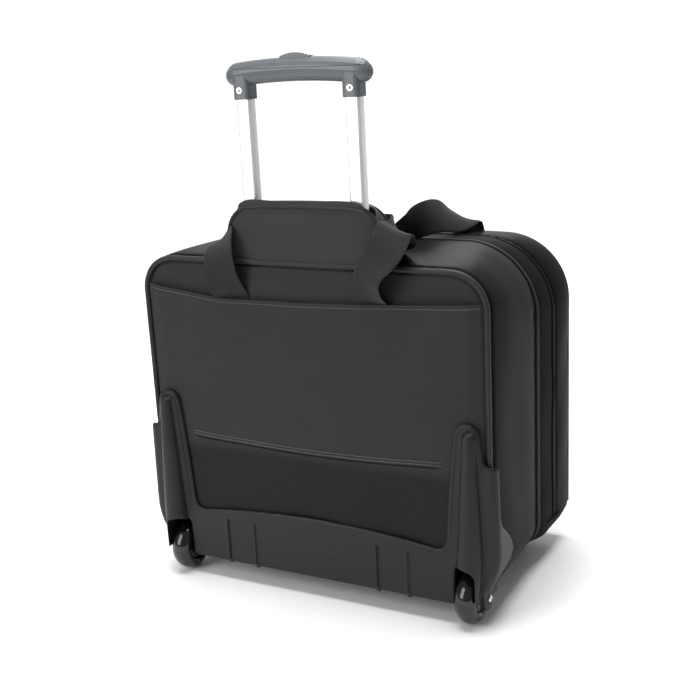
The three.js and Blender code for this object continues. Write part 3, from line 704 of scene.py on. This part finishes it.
def rear_panel():
    x, z = panel_grid(34.5, 383.4, PANEL_INSET, 170, np.linspace(0, 1, 150))
    rim = edge_distance(x, z, PANEL_INSET)
    y = 4.4 - 4.6 * smooth(rim / 5.5) - 1.2 * smooth(rim / 40.0)
    y += 0.5 * smooth(rim / 30.0) * ripples(x, z, 31, 60, 150)
    piece = sheet_piece("rear_panel_cloth", upright(x, y, z), upright(x, y + 1.4, z), PANEL_CLOTH, "case",
                        hides=("rear_panel",), slot="body_fabric")
    clear_of_wheels(piece)


def hem_height(x):
    """The pocket's top edge, which sags between its side seams."""
    left = 11.0 * np.clip((-x - 100.0) / 101.0, 0, 1) ** 1.15
    right = 10.6 * np.clip((x + 10.0) / 215.0, 0, 1) ** 1.2
    return 343.4 + left + right


def seam_height(x):
    return 171.8 + 5.6 * (x / 158.0) ** 2


HANDLE_X = (-83.0, 83.0)
STITCH_ROWS = (2.2, 5.2)   # heights of the two rows of stitches over the lapped seam


def pocket_depth(x, z):
    """How far the pocket's face stands out, as y."""
    rim = panel_half_width(z.ravel(), PANEL_INSET).reshape(z.shape) - np.abs(x)
    side = smooth(rim / 22.0)
    top = hem_height(x) - z
    y = 0.6 - 2.6 * smooth(rim / 6.0) - 3.9 * side
    y -= 0.9 * side * smooth(1 - top / 60.0)
    for handle in HANDLE_X:
        y -= 0.9 * np.exp(-((x - handle) / 26.0) ** 2) * np.exp(-(top / 26.0) ** 2)
    y -= 0.8 * side * ripples(x, z * 0.7, 41, 90, 220)
    y -= 0.16 * ripples(x, z, 42, 16, 40) * side
    below = seam_height(x) - z
    fade = 1 - smooth((np.abs(x) - 140.0) / 22.0)
    lip = smooth((below + 9.0) / 8.0) * (1 - smooth((below - 0.1) / 0.4))
    y -= 1.1 * lip * fade
    y += 2.2 * np.exp(-(np.maximum(below - 0.9, 0) / 1.1) ** 2) * smooth((below - 0.1) / 0.5) * fade
    y += 0.5 * smooth((below - 0.1) / 0.6) * (1 - smooth((below - 3.0) / 60.0)) * fade
    for rise in STITCH_ROWS:
        y += 0.25 * np.exp(-((below + rise) / 0.7) ** 2) * fade
    hem = 1 - smooth((top - 9.5) / 1.6)
    y -= 0.4 * hem
    y += 0.4 * np.exp(-((top - 4.0) / 0.8) ** 2)
    y += 0.2 * (1 - smooth(top / 1.0))
    return y


def rear_pocket():
    """The slip pocket over the rear panel, with a turned hem and a lapped seam low down."""
    level = np.concatenate([np.linspace(0, 0.415, 50)[:-1], np.linspace(0.415, 0.465, 52)[:-1],
                            np.linspace(0.465, 0.955, 66)[:-1], np.linspace(0.955, 1, 26)])
    x, z = panel_grid(37.0, 343.0, 4.0, 210, level, top=hem_height)
    y = pocket_depth(x, z)
    piece = sheet_piece("rear_pocket_cloth", upright(x, y, z), upright(x, y + 1.2, z), POCKET_CLOTH, "case",
                        hides=("rear_pocket",), slot="body_fabric")
    clear_of_wheels(piece)


def on_pocket(x, z):
    return upright(x, pocket_depth(x, z) - 0.15, z)


def pocket_stitches():
    x = np.linspace(-200, 200, 400)
    stitches("hem_stitches", on_pocket(x, hem_height(x) - 4.0), 3.3)
    x = np.linspace(-155, 155, 300)
    for k, rise in enumerate(STITCH_ROWS):
        stitches(f"lap_seam_stitches_{k}", on_pocket(x, seam_height(x) + rise), 3.2)


# ---- pouch round the pull handle ----
POUCH_FRONT = 31.0


def pouch_outline(steps=10, grow=0.0):
    """From the lower right corner, over the top, to the lower left one, with the outward direction."""
    rows = []
    half, low, high, corner, flare = 89.0 + grow, 387.0, 444.6 + grow, 30.0 + grow, 2.0

    def side(sign, t):
        rows.append((sign * half + sign * flare * (1 - t), low + t * (high - corner - low), float(sign), 0.0))

    def bend(sign, start):
        for a in np.radians(np.linspace(start, start + 90, steps + 1)):
            c, s = math.cos(a), math.sin(a)
            rows.append((sign * half - sign * corner + corner * c, high - corner + corner * s, c, s))
    for t in np.linspace(0, 1, 8, endpoint=False):
        side(1, t)
    bend(1, 0)
    for t in np.linspace(0, 1, 16)[1:-1]:
        rows.append(((1 - 2 * t) * (half - corner), high + 1.2 * math.sin(math.pi * t), 0.0, 1.0))
    bend(-1, 90)
    for t in np.linspace(1, 0, 9)[1:]:
        side(-1, t)
    return np.array(rows)


def pouch_face(name, y_out, y_in, crown):
    """One upright face of the pouch, crowned outwards, filled from its outline."""
    track = pouch_outline(grow=-1.6)
    half = (len(track) + 1) // 2
    right, left = track[:half], track[::-1][:half]
    share = np.linspace(0, 1, 40)
    x, z = (right[:, k][:, None] * (1 - share) + left[:, k][:, None] * share for k in (0, 1))
    across = np.sin(math.pi * share)[None, :] ** 0.6
    upward = smooth((446.0 - z) / 18.0)
    y = y_out + crown * across * upward * (1 + 0.25 * ripples(x, z, 51, 40, 90))
    return sheet_piece(name, upright(x, y, z), upright(x, y_in, z), POUCH_CLOTH, "case", slot="body_fabric")


def pouch_welt(name, middle):
    """The corded welt between a face of the pouch and its gusset."""
    track = pouch_outline()
    loops = [np.stack([track[:, 0] + grow * track[:, 2], np.full(len(track), y),
                       track[:, 1] + grow * track[:, 3]], axis=1)
             for y, grow in round_loop(middle, 0.4, 1.8, 1.8, 30)]
    ring_piece(name, np.stack(loops, axis=1), WELT_TAPE, "case", slot="piping")


# The gusset's section: share of the way from welt to lip, lift, and depth behind the lip.
STRIP_SECTION = ((0.0, -2.0, 0), (0.0, 0.6, 0), (0.15, 1.2, 0), (0.3, 1.6, 0), (0.5, 1.9, 0), (0.7, 2.0, 0),
                 (0.93, 2.1, 0), (1.0, 1.5, 0), (1.0, 0.4, 0.2), (0.8, -0.4, 0.2), (0.3, -1.4, 0))


def pouch_strip(name, welt_y, lip_y, rise):
    """A strip of the pouch's gusset from its welt to its lip. Over the top the lip rises and sways."""
    track = pouch_outline(steps=14)
    on_top = track[:, 3] ** 0.7
    sway = 0.6 * ripples(track[:, 0], np.full(len(track), welt_y), 53, 60, 140)
    inward = 1.0 if lip_y > welt_y else -1.0
    loops = []
    shut = smooth((np.abs(track[:, 0]) - 73.0) / 11.0)
    lip = lip_y * (1 - shut) + (13.7 - 0.3 * inward) * shut
    sag = 1.0 - 0.45 * np.exp(-(track[:, 0] / 42.0) ** 2)
    for share, lift, depth in STRIP_SECTION:
        bow = (rise - 2.0) * on_top * share * sag * (1 - 0.6 * shut) + sway * share
        y = welt_y + (lip - welt_y) * share - inward * depth
        loops.append(np.stack([track[:, 0] + (lift + 0.3 * bow) * track[:, 2], y,
                               track[:, 1] + (lift + bow) * track[:, 3]], axis=1))
    piece = ring_piece(name, np.stack(loops, axis=1), WELT_TAPE, "case", slot="body_fabric")


def handle_pouch():
    rear = pouch_face("pouch_rear_face", 0.2, 1.8, -2.4)
    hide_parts("handle_garage")
    pouch_face("pouch_front_face", POUCH_FRONT, POUCH_FRONT - 2.0, 1.2)
    pouch_welt("pouch_rear_welt", 0.0)
    pouch_welt("pouch_front_welt", POUCH_FRONT)
    pouch_strip("pouch_rear_gusset", 0.8, 2.0, 8.2)
    pouch_strip("pouch_front_gusset", POUCH_FRONT - 0.8, 25.6, 2.6)


# ---- webbing handles ----
# Each handle's middle line, and the direction of its width at the same points.
REAR_HANDLE_ROUTE = [
    (-86.5, -2.8, 334), (-88.5, -4.6, 346), (-92, -11, 358), (-93.5, -16, 372), (-94.5, -17, 386),
    (-96, -14, 398), (-98, -6, 407), (-99, 8, 411), (-98, 24, 411), (-92, 41, 411.5), (-76, 53, 412),
    (-45, 58, 412), (0, 60, 412), (50, 60, 412), (80, 56, 412), (93, 44, 413), (104, 28, 417), (107, 12, 423),
    (108, 0, 424), (108, -9, 416), (104.5, -15, 406.5), (97, -18.5, 397), (90, -20, 388), (84.5, -18, 376),
    (81.5, -12, 362), (80, -4.6, 348), (80, -2.8, 334)]
REAR_HANDLE_ACROSS = [
    (-1, 0, 0), (-1, -0.15, 0.05), (-0.95, -0.3, 0.1), (-0.98, -0.15, 0.1), (-0.98, 0.05, 0.1),
    (-0.97, 0.2, 0), (-0.88, 0.4, -0.2), (-0.5, 0.5, -0.7), (-0.1, 0.3, -0.95), (0, 0.15, -0.97),
    (0, 0.2, -0.95), (0, 0.2, -0.95), (0, 0.2, -0.95), (0, 0.2, -0.95), (0.1, 0.1, -0.95), (0.5, 0, -0.85),
    (0.8, -0.2, -0.5), (0.87, -0.35, -0.25), (0.9, -0.25, -0.35), (0.9, -0.1, -0.45), (0.9, -0.1, -0.45),
    (0.9, -0.2, -0.4), (0.9, -0.35, -0.2), (0.88, -0.45, 0), (0.93, -0.35, 0), (1, 0, 0), (1, 0, 0)]
FRONT_HANDLE_ROUTE = [
    (-112, 238, 390), (-114, 229, 401), (-111, 206, 406), (-92, 180, 406), (-52, 160, 402), (-12, 140, 399),
    (26, 124, 399), (50, 121, 400), (68, 127, 406), (80, 143, 412), (87, 168, 412), (92, 194, 406),
    (95, 218, 402), (97, 231, 396), (98, 237, 381)]
FRONT_HANDLE_ACROSS = [
    (1, 0, 0), (0.8, 0.5, 0), (0.4, 0.9, 0), (0.3, 0.95, 0), (0.35, 0.93, 0), (0.35, 0.93, 0),
    (0.35, 0.92, -0.05), (0.35, 0.9, -0.15), (0.35, 0.8, -0.45), (0.2, 0.2, -1), (0.25, -0.35, -0.9),
    (0.5, -0.5, -0.7), (0.85, -0.4, -0.35), (1, -0.1, 0), (1, 0, 0)]
STRAP_WIDTH, STRAP_THICKNESS = 39.5, 2.0


def catmull(points, share):
    """Points and directions on the uniform Catmull-Rom curve through points, at shares from 0 to 1."""
    points = np.asarray(points, float)
    padded = np.concatenate([[2 * points[0] - points[1]], points, [2 * points[-1] - points[-2]]])
    place = np.clip(share, 0, 1) * (len(points) - 1)
    k = np.minimum(place.astype(int), len(points) - 2)
    t = (place - k)[:, None]
    p0, p1, p2, p3 = (padded[k + n] for n in range(4))
    squared, cubed = 2 * p0 - 5 * p1 + 4 * p2 - p3, 3 * p1 - p0 - 3 * p2 + p3
    spot = 0.5 * (2 * p1 + (p2 - p0) * t + squared * t**2 + cubed * t**3)
    slope = 0.5 * ((p2 - p0) + 2 * squared * t + 3 * cubed * t**2)
    return spot, slope / np.linalg.norm(slope, axis=1)[:, None]


def webbing(name, route, across, body, hides, steps, cup, seed):
    """Flat webbing along a route, its width turned towards the across directions, slightly cupped."""
    share = np.linspace(0, 1, steps)
    spot, forward = catmull(route, share)
    side, _ = catmull(across, share)
    side -= forward * np.sum(side * forward, axis=1)[:, None]
    side /= np.linalg.norm(side, axis=1)[:, None]
    face = np.cross(forward, side)
    half, thick = STRAP_WIDTH / 2, STRAP_THICKNESS / 2
    places = np.linspace(-1, 1, 25)
    edge = np.sqrt(np.maximum(1 - np.clip((np.abs(places) - 0.94) / 0.06, 0, 1) ** 2, 0.0))
    section = [(u, thick * e) for u, e in zip(places, np.maximum(edge, 0.3))]
    section += [(u, -thick * e) for u, e in zip(places[::-1], np.maximum(edge[::-1], 0.3))]
    run = lengths(spot)
    loops = []
    for u, lift in section:
        wave = cup * (u * u - 0.4) * 2.2 + 0.35 * ripples(run, np.full_like(run, u * 18), seed, 30, 80)
        loops.append(spot + side * u * half + face * (lift + wave)[:, None])
    loops = np.stack(loops, axis=1)
    piece = ring_piece(name, loops, WEBBING, body, hides=hides, slot="webbing")
    give_strap_uv(piece, run, section, half)


def give_strap_uv(piece, run, section, half):
    """Surface coordinates across and along the webbing, so that its ribs follow it."""
    layer = piece.data.uv_layers[0]
    count = len(section)
    corners = np.empty(len(piece.data.loops), dtype=np.int32)
    piece.data.loops.foreach_get("vertex_index", corners)
    u = np.array([s[0] for s in section]) * half
    uv = np.stack([u[corners % count], run[np.minimum(corners // count, len(run) - 1)]], axis=1) * 0.001
    layer.data.foreach_set("uv", uv.ravel())


# ---- front section ----
def expansion_band():
    """Between the bound seam and the zip: a soft band that dips towards the zip."""
    outside = [(146.1, -1.6), (146.3, -0.2)]
    for y in np.linspace(148.0, 186.0, 12):
        t = (y - 146.0) / 42.0
        outside.append((y, 0.9 * math.sin(math.pi * min(t, 1.0)) ** 0.8))
    outside += [(188.0, -0.3), (189.2, -0.5), (190.0, 0.5), (191.0, 0.8), (195.5, 0.7), (196.9, 0.3),
                (197.5, -0.8)]
    inside = [(y, -WALL) for y in (197.5, 180.0, 165.0, 146.1)]
    piece = swept_band("expansion_band_cloth", outside + inside, BAND_CLOTH, "case", low_end=SPLIT,
                       relief=slack(0.35, 61, 140), hides=("expansion_band",), slot="body_fabric")


def front_tray():
    """The lower part of the front section, which stays shut."""
    outside = [(146.1, -1.6), (146.4, -0.2)]
    for y in np.linspace(149.0, 244.0, 18):
        t = (y - 146.0) / 102.0
        outside.append((y, 2.0 * math.sin(math.pi * t) ** 0.7))
    outside += [(247.0, 0.2), (249.0, -0.6), (250.0, -2.4)]
    inside = [(249.0, -WALL), (220.0, -WALL), (190.0, -WALL), (146.1, -WALL)]
    ring = swept_band("front_tray_cloth", outside + inside, BAND_CLOTH, "case", high_end=SPLIT - 0.4,
                      relief=slack(0.4, 62, 130, under=True), hides=("front_lower_tray",), slot="body_fabric")
    x, z = panel_grid(29.0, SPLIT - 0.4, 0.0, 90, np.linspace(0, 1, 16))
    x = x * 213.0 / 210.0
    y = 249.6 - 1.0 * (1 - smooth((z - 28) / 12.0))
    sheet_piece("front_tray_face", upright(x, y, z), upright(x, 246.4, z), GUSSET_CLOTH, "case",
                slot="body_fabric")


def lid():
    """The front section's lid: gusset, welt and panel."""
    outside = [(202.6, -1.0), (203.0, 0.4), (204.5, 0.9)]
    for y in np.linspace(208.0, 243.0, 12):
        t = (y - 204.0) / 42.0
        outside.append((y, 0.9 + 1.3 * math.sin(math.pi * min(t, 1.0)) ** 0.8))
    outside += [(244.8, 0.6), (245.4, -0.6)]
    inside = [(245.4, -WALL), (224.0, -WALL), (202.6, -WALL)]
    piece = swept_band("lid_gusset_cloth", outside + inside, GUSSET_CLOTH, "front_lid", low_end=SPLIT,
                       relief=slack(0.35, 63, 120), hides=("lid_gusset",), slot="body_fabric")
    loop = round_loop(247.6, -1.6, 2.7, 2.7, 24)
    swept_band("lid_welt", loop, WELT_TAPE, "front_lid", low_end=SPLIT, hides=("lid_piping",), slot="piping")
    top = 376.0
    z = np.linspace(SPLIT, top, 80)[:, None] + np.zeros((1, 100))
    half, low, high, low_corner, high_corner = section_at(250)
    inset = 4.5
    rise = np.clip(z - (high - high_corner), 0, high_corner - inset)
    drop = np.clip(low + low_corner - z, 0, low_corner - inset)
    width = half - inset - (high_corner - inset) + np.sqrt((high_corner - inset) ** 2 - rise**2)
    width -= (low_corner - inset) - np.sqrt((low_corner - inset) ** 2 - drop**2)
    x = np.linspace(-1, 1, 100)[None, :] * width
    edge = smooth((width - np.abs(x)) / 30.0) * smooth((top - z) / 26.0)
    y = 247.2 + 2.4 * edge + 0.4 * edge * ripples(x, z, 64, 60, 140)
    panel = sheet_piece("lid_panel_cloth", upright(x, y, z), upright(x, 246.0, z), PANEL_CLOTH, "front_lid",
                        hides=("lid_front_panel",), slot="body_fabric")


def front_pocket():
    """A slip pocket on the lid, bagged out, with a turned hem."""
    half, low, high, corner = 177.0, 97.0, 321.0, 26.0
    share = np.linspace(-1, 1, 110)[None, :]
    z = np.linspace(low, high, 90)[:, None] + 0 * share
    drop = np.clip(low + corner - z, 0, corner)
    width = half - corner + np.sqrt(corner**2 - drop**2)
    x = share * width
    edge = smooth((width - np.abs(x)) / 14.0) * smooth((z - low) / 14.0)
    y = 251.2 + 9.6 * edge + 0.9 * edge * ripples(x, z, 65, 70, 170)
    y -= 0.4 * np.exp(-((high - z - 14.0) / 1.0) ** 2) * edge
    front, back = upright(x, np.clip(y, 251.0, 262.6), z), upright(x, np.clip(y - 2.2, 250.2, 262), z)
    piece = sheet_piece("front_pocket_cloth", front, back, PANEL_CLOTH, "front_lid", hides=("front_pocket",),
                        slot="body_fabric")


def zips():
    """Two tapes, each with its half of the coil."""
    for name, low, high, body, node_name in (("zip_tape_rear", 197.9, 199.6, "case", "zip_tape_case"),
                                             ("zip_tape_front", 200.3, 202.2, "front_lid", "zip_tape_lid")):
        loop = [(low, -1.0), (high, -1.0), (high, -5.0), (low, -5.0)]
        swept_band(name, loop, ZIP_TAPE, body, low_end=SPLIT, hides=(node_name,), slot="zip_tape")
    for name, y, body in (("zip_coil_rear", 199.2, "case"), ("zip_coil_front", 200.7, "front_lid")):
        swept_band(name, round_loop(y, -0.9, 0.42, 0.8, 60), ZIP_METAL, body, low_end=SPLIT, slot="zip_metal",
                   relief=lambda x, z, y, grow: 0.25 * np.where(np.arange(len(x)) % 2, -1.0, 1.0))


# ---- moulded base ----
# The plate is laid out flat, formed, and then folded round the case's sides at "turn".
PLATE = {"rear": -10.0, "turn": 207.0, "radius": 9.5, "thick": 2.6, "low": 24.3, "bottom": 12.0, "top": 234.0}
QUARTER = PLATE["radius"] * math.pi / 2
GROOVES = (78.0, 115.0)
EAR_RADIUS = 13.0


def curve(spots, control, end, steps=12):
    """Adds a quadratic curve from the last of the spots to end."""
    t = np.linspace(0, 1, steps + 1)[1:, None]
    start, control, end = (np.asarray(p, float) for p in (spots[-1], control, end))
    spots += [tuple(p) for p in (1 - t) ** 2 * start + 2 * t * (1 - t) * control + t**2 * end]


def flat_side(y):
    """Where a depth on the wing's side lies when the plate is laid out flat."""
    return PLATE["turn"] + QUARTER + y - (PLATE["rear"] + PLATE["radius"])


def base_outline():
    """Right half of the moulding's outline laid out flat, across and up, from the middle of its foot."""
    spots = [(-2.0, PLATE["low"]), (164.0, PLATE["low"]), (167.8, 25.0)]
    spots += [(168.0, 61.0)] + arc((180.0, 61.0), 12.0, 180, 90, 10)
    spots += arc((184.0, 61.0), 11.0, 90, 0, 10)
    spots += [(195.8, 42.0), (196.6, 34.0), (200.0, 34.0), (206.0, 40.0)]
    curve(spots, (flat_side(-1), 43.0), (flat_side(10), 48.0))
    spots.append((flat_side(31), 62.0))
    curve(spots, (flat_side(40), 68.5), (flat_side(37.5), 80.0))
    curve(spots, (flat_side(32), 95.0), (flat_side(9), 113.0))
    curve(spots, (flat_side(0.5), 120.0), (flat_side(0.5), 136.0))
    spots += [(flat_side(0.5), 181.0), (flat_side(-1.0), 183.5), (213.0, 184.0), (209.0, 185.0)]
    curve(spots, (202.5, 186.5), (201.6, 194.0))
    spots += [(198.8, 216.0)] + arc((184.5, 215.0), 14.5, 3, 178, 20)
    spots += [(166.0, 179.0), (162.5, 140.0), (159.6, 99.0)]
    curve(spots, (158.0, 85.4), (147.0, 85.4))
    curve(spots, (70, 95.5), (-2, 95.5), 30)
    return np.array(spots)


def distance_to(loop, u, v):
    """Distance of each point from a closed line."""
    best = np.full(u.shape, 1e9)
    for (x0, z0), (x1, z1) in zip(loop, np.roll(loop, -1, axis=0)):
        dx, dz = x1 - x0, z1 - z0
        share = np.clip(((u - x0) * dx + (v - z0) * dz) / (dx * dx + dz * dz + 1e-9), 0, 1)
        best = np.minimum(best, np.hypot(u - x0 - share * dx, v - z0 - share * dz))
    return best


def rib_height(u, z):
    """The half-round rib that widens down the horn, with a domed top and a soft foot."""
    centre = np.interp(z, [60, 87, 150, 215], [186.0, 186.5, 187.3, 187.8])
    half = np.interp(z, [40, 87, 150, 214], [15.6, 14.2, 11.2, 7.6])
    crest = np.interp(z, [40, 214], [17.0, 7.6])
    over = np.clip((z - 214.0) / 7.6, 0, 1)
    dome = np.sqrt(np.maximum(1 - over**2, 0))
    across = np.abs(u - centre) / np.maximum(half * np.maximum(dome, 0.02), 0.2)
    body = crest * dome * np.sqrt(np.maximum(1 - np.minimum(across, 1) ** 2, 0))
    foot = 1.3 * np.exp(-(np.maximum(across - 0.9, 0) * half / 2.2) ** 2) * (over < 1)
    return np.maximum(body, foot * np.minimum(1, dome + 0.3))


def base_height(u, z, loop):
    """How far the plate's face stands out: the ribs, rounded edges, raised rims, grooves and name plate."""
    rim = distance_to(loop, u, z)
    height = rib_height(u, z)
    height = height - 2.2 * (1 - np.sqrt(np.clip(1 - (1 - np.clip(rim / 2.4, 0, 1)) ** 2, 0, 1)))
    horn = smooth((z - 88.0) / 14.0)
    height += 0.9 * horn * np.exp(-((rim - 3.4) / 1.9) ** 2) * (u < 203)
    for groove in GROOVES:
        within = smooth((78.0 - z) / 1.5)
        height -= 1.5 * np.exp(-((u - groove) / 1.15) ** 4) * within
        height += 0.5 * np.exp(-((np.abs(u - groove) - 2.6) / 0.9) ** 2) * within
    plate_u = np.abs(u) - 32.5
    plate_z = np.abs(z - 68.5) - 10.5
    height -= 0.6 * (1 - smooth((np.maximum(plate_u, plate_z) + 0.4) / 0.8))
    height += 0.2 * ripples(u, z, 71, 60, 160) * smooth(rim / 10)
    return height


def wrap_round(u, height, z):
    """Folds the flat layout round the side of the case."""
    turn = np.clip((u - PLATE["turn"]) / PLATE["radius"], 0, math.pi / 2)
    beyond = np.maximum(u - PLATE["turn"] - QUARTER, 0)
    reach = PLATE["radius"] + height
    x = np.minimum(u, PLATE["turn"]) + reach * np.sin(turn)
    y = PLATE["rear"] + PLATE["radius"] - reach * np.cos(turn) + beyond
    lean = np.interp(z, [30, 44, 52, 60, 68, 80, 95, 183], [-11, -11, -7.5, -3.6, -0.8, 1.4, 1.8, 0])
    return np.stack([x + lean * np.clip((u - 195.0) / 17.0, 0, 1), y, z], axis=-1)


def moulded_half(side):
    """One half of the plate with its horn and wing, cut to the outline while flat and then folded."""
    loop = base_outline()
    u = np.concatenate([np.linspace(-1.5, 140, 105)[:-1], np.linspace(140, 224, 122)[:-1],
                        np.linspace(224, 262, 24)])
    z = np.concatenate([np.linspace(PLATE["bottom"], 100, 84)[:-1], np.linspace(100, PLATE["top"], 110)])
    u, z = np.meshgrid(u, z)
    face, back = upright(u, -base_height(u, z, loop), z), upright(u, PLATE["thick"], z)
    piece = sheet_piece(f"wheel_base_{side}", face, back, BASE_PLASTIC, "case", slot="base_plastic")
    boolean(piece, prism("outline", loop, (-40.0, 20.0)), "INTERSECT")
    mesh = piece.data
    spots = np.empty(len(mesh.vertices) * 3)
    mesh.vertices.foreach_get("co", spots)
    spots = spots.reshape(-1, 3) * 1000.0 + (0, DEPTH_MIDDLE, 0)
    placed = wrap_round(spots[:, 0], -spots[:, 1], spots[:, 2])
    if side == "left":
        placed[:, 0] *= -1
        mesh.flip_normals()
    mesh.vertices.foreach_set("co", row(placed).ravel())
    mesh.update()
    return piece


def bevelled(name, loops, width, segments=3, angle=40):
    """A moulded solid through loops with its edges rounded."""
    piece = ring_piece(name, loops, BASE_PLASTIC, "case", slot="base_plastic")
    step = piece.modifiers.new("round", "BEVEL")
    step.width = width * 0.001
    step.segments = segments
    step.limit_method = "ANGLE"
    step.angle_limit = math.radians(angle)
    evaluated(piece)


def fork_ear(name, side, near, far):
    """One arm of the wheel's fork, rounded under the axle."""
    rear, front = -8.6, WHEEL_Y + 15.0
    loop = arc((WHEEL_Y, WHEEL_Z), EAR_RADIUS, 190, 350, 24)
    loop += [(front, 46.0), (front, 60.0), (rear, 60.0), (rear, 44.0)]
    bevelled(name, [[(side * x, y, z) for y, z in loop] for x in (near, far)], 1.3, angle=50)


def wheel_well(name, side):
    """The arched housing behind the plate that the wheel turns in, and its front wall."""
    def track(grow):
        half, high, corner = ARCH_HALF + grow, ARCH_TOP + grow, ARCH_CORNER + grow
        spots = [(half, t) for t in np.linspace(24.6, high - corner, 8)[:-1]]
        spots += arc((half - corner, high - corner), corner, 0, 90, 8)
        return [(side * WHEEL_X + x, z) for x, z in spots + [(-x, z) for x, z in spots[::-1]]]
    rear, front = -7.6, 39.6
    loops = [[(x0, rear, z0), (x0, front, z0), (x1, front, z1), (x1, rear, z1)]
             for (x0, z0), (x1, z1) in zip(track(0.0), track(2.2))]
    ring_piece(name, loops, BASE_PLASTIC, "case", slot="base_plastic")
    wall = [[(x, y, z) for x, z in track(1.0)] for y in (39.2, 41.2)]
    ring_piece(name + "_wall", wall, BASE_PLASTIC, "case", slot="base_plastic")


def moulded_base():
    for name, side in SIDES:
        half = moulded_half(name)
        if name == "right":
            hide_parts("wheel_base")
        fork_ear(f"outer_ear_{name}", side, 196.2, 201.0)
        fork_ear(f"inner_ear_{name}", side, 163.4, 167.8)
        wheel_well(f"wheel_well_{name}", side)
    foot = [[(x, y, z) for y, z in ((-8.4, 24.5), (38.0, 24.5), (38.0, 26.7), (-8.4, 26.7))]
            for x in (-166.0, 166.0)]
    bevelled("base_floor", foot, 0.6, segments=2)
    for name, side in SIDES:
        for x in GROOVES:
            bead = [[(side * x + 2.8 * math.cos(a), y, 24.9 + 2.8 * math.sin(a))
                     for a in np.radians(np.arange(0, 360, 24))] for y in (-10.4, -7.6)]
            bevelled(f"base_bead_{name}_{int(x)}", bead, 0.5, segments=2)


# ---- wheels ----
# Half sections, as closed lists of (radius, distance along the axle).
TYRE = [(17.2, -9.6)] + [(21.0 + 9.0 * math.cos(a), 12.0 * math.sin(a))
                         for a in np.radians(np.linspace(-90, 90, 33))] + [(17.2, 9.6)]
HUB = [(8.3, -4.0), (9.0, -7.6), (11.0, -9.2), (14.0, -9.4), (15.6, -9.0), (16.8, -8.4)]
HUB += [(radius, -along) for radius, along in HUB[::-1]]
BEARING = [(3.3, -10.4), (6.6, -10.6), (7.8, -10.0), (8.0, -9.0)]
BEARING += [(radius, -along) for radius, along in BEARING[::-1]]
AXLE = [(0.1, 20.0), (2.2, 21.6), (3.4, 21.2), (4.2, 20.2), (4.2, 19.6), (3.2, 19.4), (3.1, -18.0),
        (0.1, -18.0)]


def lathe(name, side, profile, material, body, slot, hides, steps=96, sharp=30.0):
    """A solid turned about the wheel's axle."""
    loops = [[(side * WHEEL_X + side * along, WHEEL_Y + radius * math.cos(a), WHEEL_Z + radius * math.sin(a))
              for radius, along in profile] for a in np.linspace(0, 2 * math.pi, steps + 1)[:-1]]
    ring_piece(name, loops, material, body, closed=True, slot=slot, hides=hides, sharp=sharp)


def wheels():
    for name, side in SIDES:
        body = f"wheel_{name}"
        lathe(f"tyre_{name}", side, TYRE, TREAD, body, "wheel_tread", (f"wheel_tyre_{name}",), sharp=60)
        lathe(f"hub_{name}", side, HUB, HUB_PLASTIC, body, "wheel_hub", (f"wheel_hub_{name}",))
        lathe(f"bearing_{name}", side, BEARING, STEEL, body, "polished_steel", (f"wheel_bearing_{name}",))
        lathe(f"axle_pin_{name}", side, AXLE, STEEL, "case", "polished_steel", (f"axle_{name}",), steps=48)


# ---- trolley ----
TUBE_WALL = 1.2


def tube(name, side, width, depth, low, high, body, hides):
    """A drawn tube of rounded oblong section."""
    def section(shrink):
        spots = []
        half, deep, corner = width / 2 - shrink, depth / 2 - shrink, 2.6 - 0.8 * shrink
        for cx, cy, start in ((1, 1, 0), (-1, 1, 90), (-1, -1, 180), (1, -1, 270)):
            spots += arc((cx * (half - corner), cy * (deep - corner)), corner, start, start + 90, 8)
        return [(side * TUBE_X + x, TUBE_Y + y) for x, y in spots]
    loops = [[(x0, y0, low), (x0, y0, high), (x1, y1, high), (x1, y1, low)]
             for (x0, y0), (x1, y1) in zip(section(0.0), section(TUBE_WALL))]
    ring_piece(name, loops, ALUMINIUM, body, closed=True, slot="tube_aluminium", hides=hides, sharp=30)


def trolley():
    for name, side in SIDES:
        tube(f"drawn_inner_tube_{name}", side, 16.2, 14.6, 214.0, 574.0, "handle_stage",
             (f"inner_tube_{name}",))
        tube(f"drawn_middle_tube_{name}", side, 19.4, 17.8, 37.0, 391.6, "middle_stage",
             (f"middle_tube_{name}",))


main_gusset()
rear_welt()
rear_panel()
rear_pocket()
pocket_stitches()
handle_pouch()
webbing("rear_handle_webbing", REAR_HANDLE_ROUTE, REAR_HANDLE_ACROSS, "case", ("rear_carry_handle",),
        steps=260, cup=0.6, seed=1)
webbing("front_handle_webbing", FRONT_HANDLE_ROUTE, FRONT_HANDLE_ACROSS, "front_handle",
        ("front_carry_handle",), steps=200, cup=0.5, seed=2)
expansion_band()
front_tray()
lid()
front_pocket()
zips()
moulded_base()
wheels()
trolley()

# ---- finish of the imported parts ----
MATERIAL_OF_SLOT = {
    "base_plastic": BASE_PLASTIC, "grip_plastic": GRIP_PLASTIC, "tube_aluminium": ALUMINIUM,
    "polished_steel": STEEL, "zip_metal": ZIP_METAL, "wheel_tread": TREAD, "wheel_hub": HUB_PLASTIC,
    "lining": LINING, "body_fabric": PANEL_CLOTH, "piping": WELT_TAPE, "webbing": WEBBING,
    "zip_tape": ZIP_TAPE}
for part in frame["record"]["subparts"]:
    mesh = frame["nodes"][part["node"]].data
    mesh.materials.clear()
    mesh.materials.append(MATERIAL_OF_SLOT[part["material_slot"]])
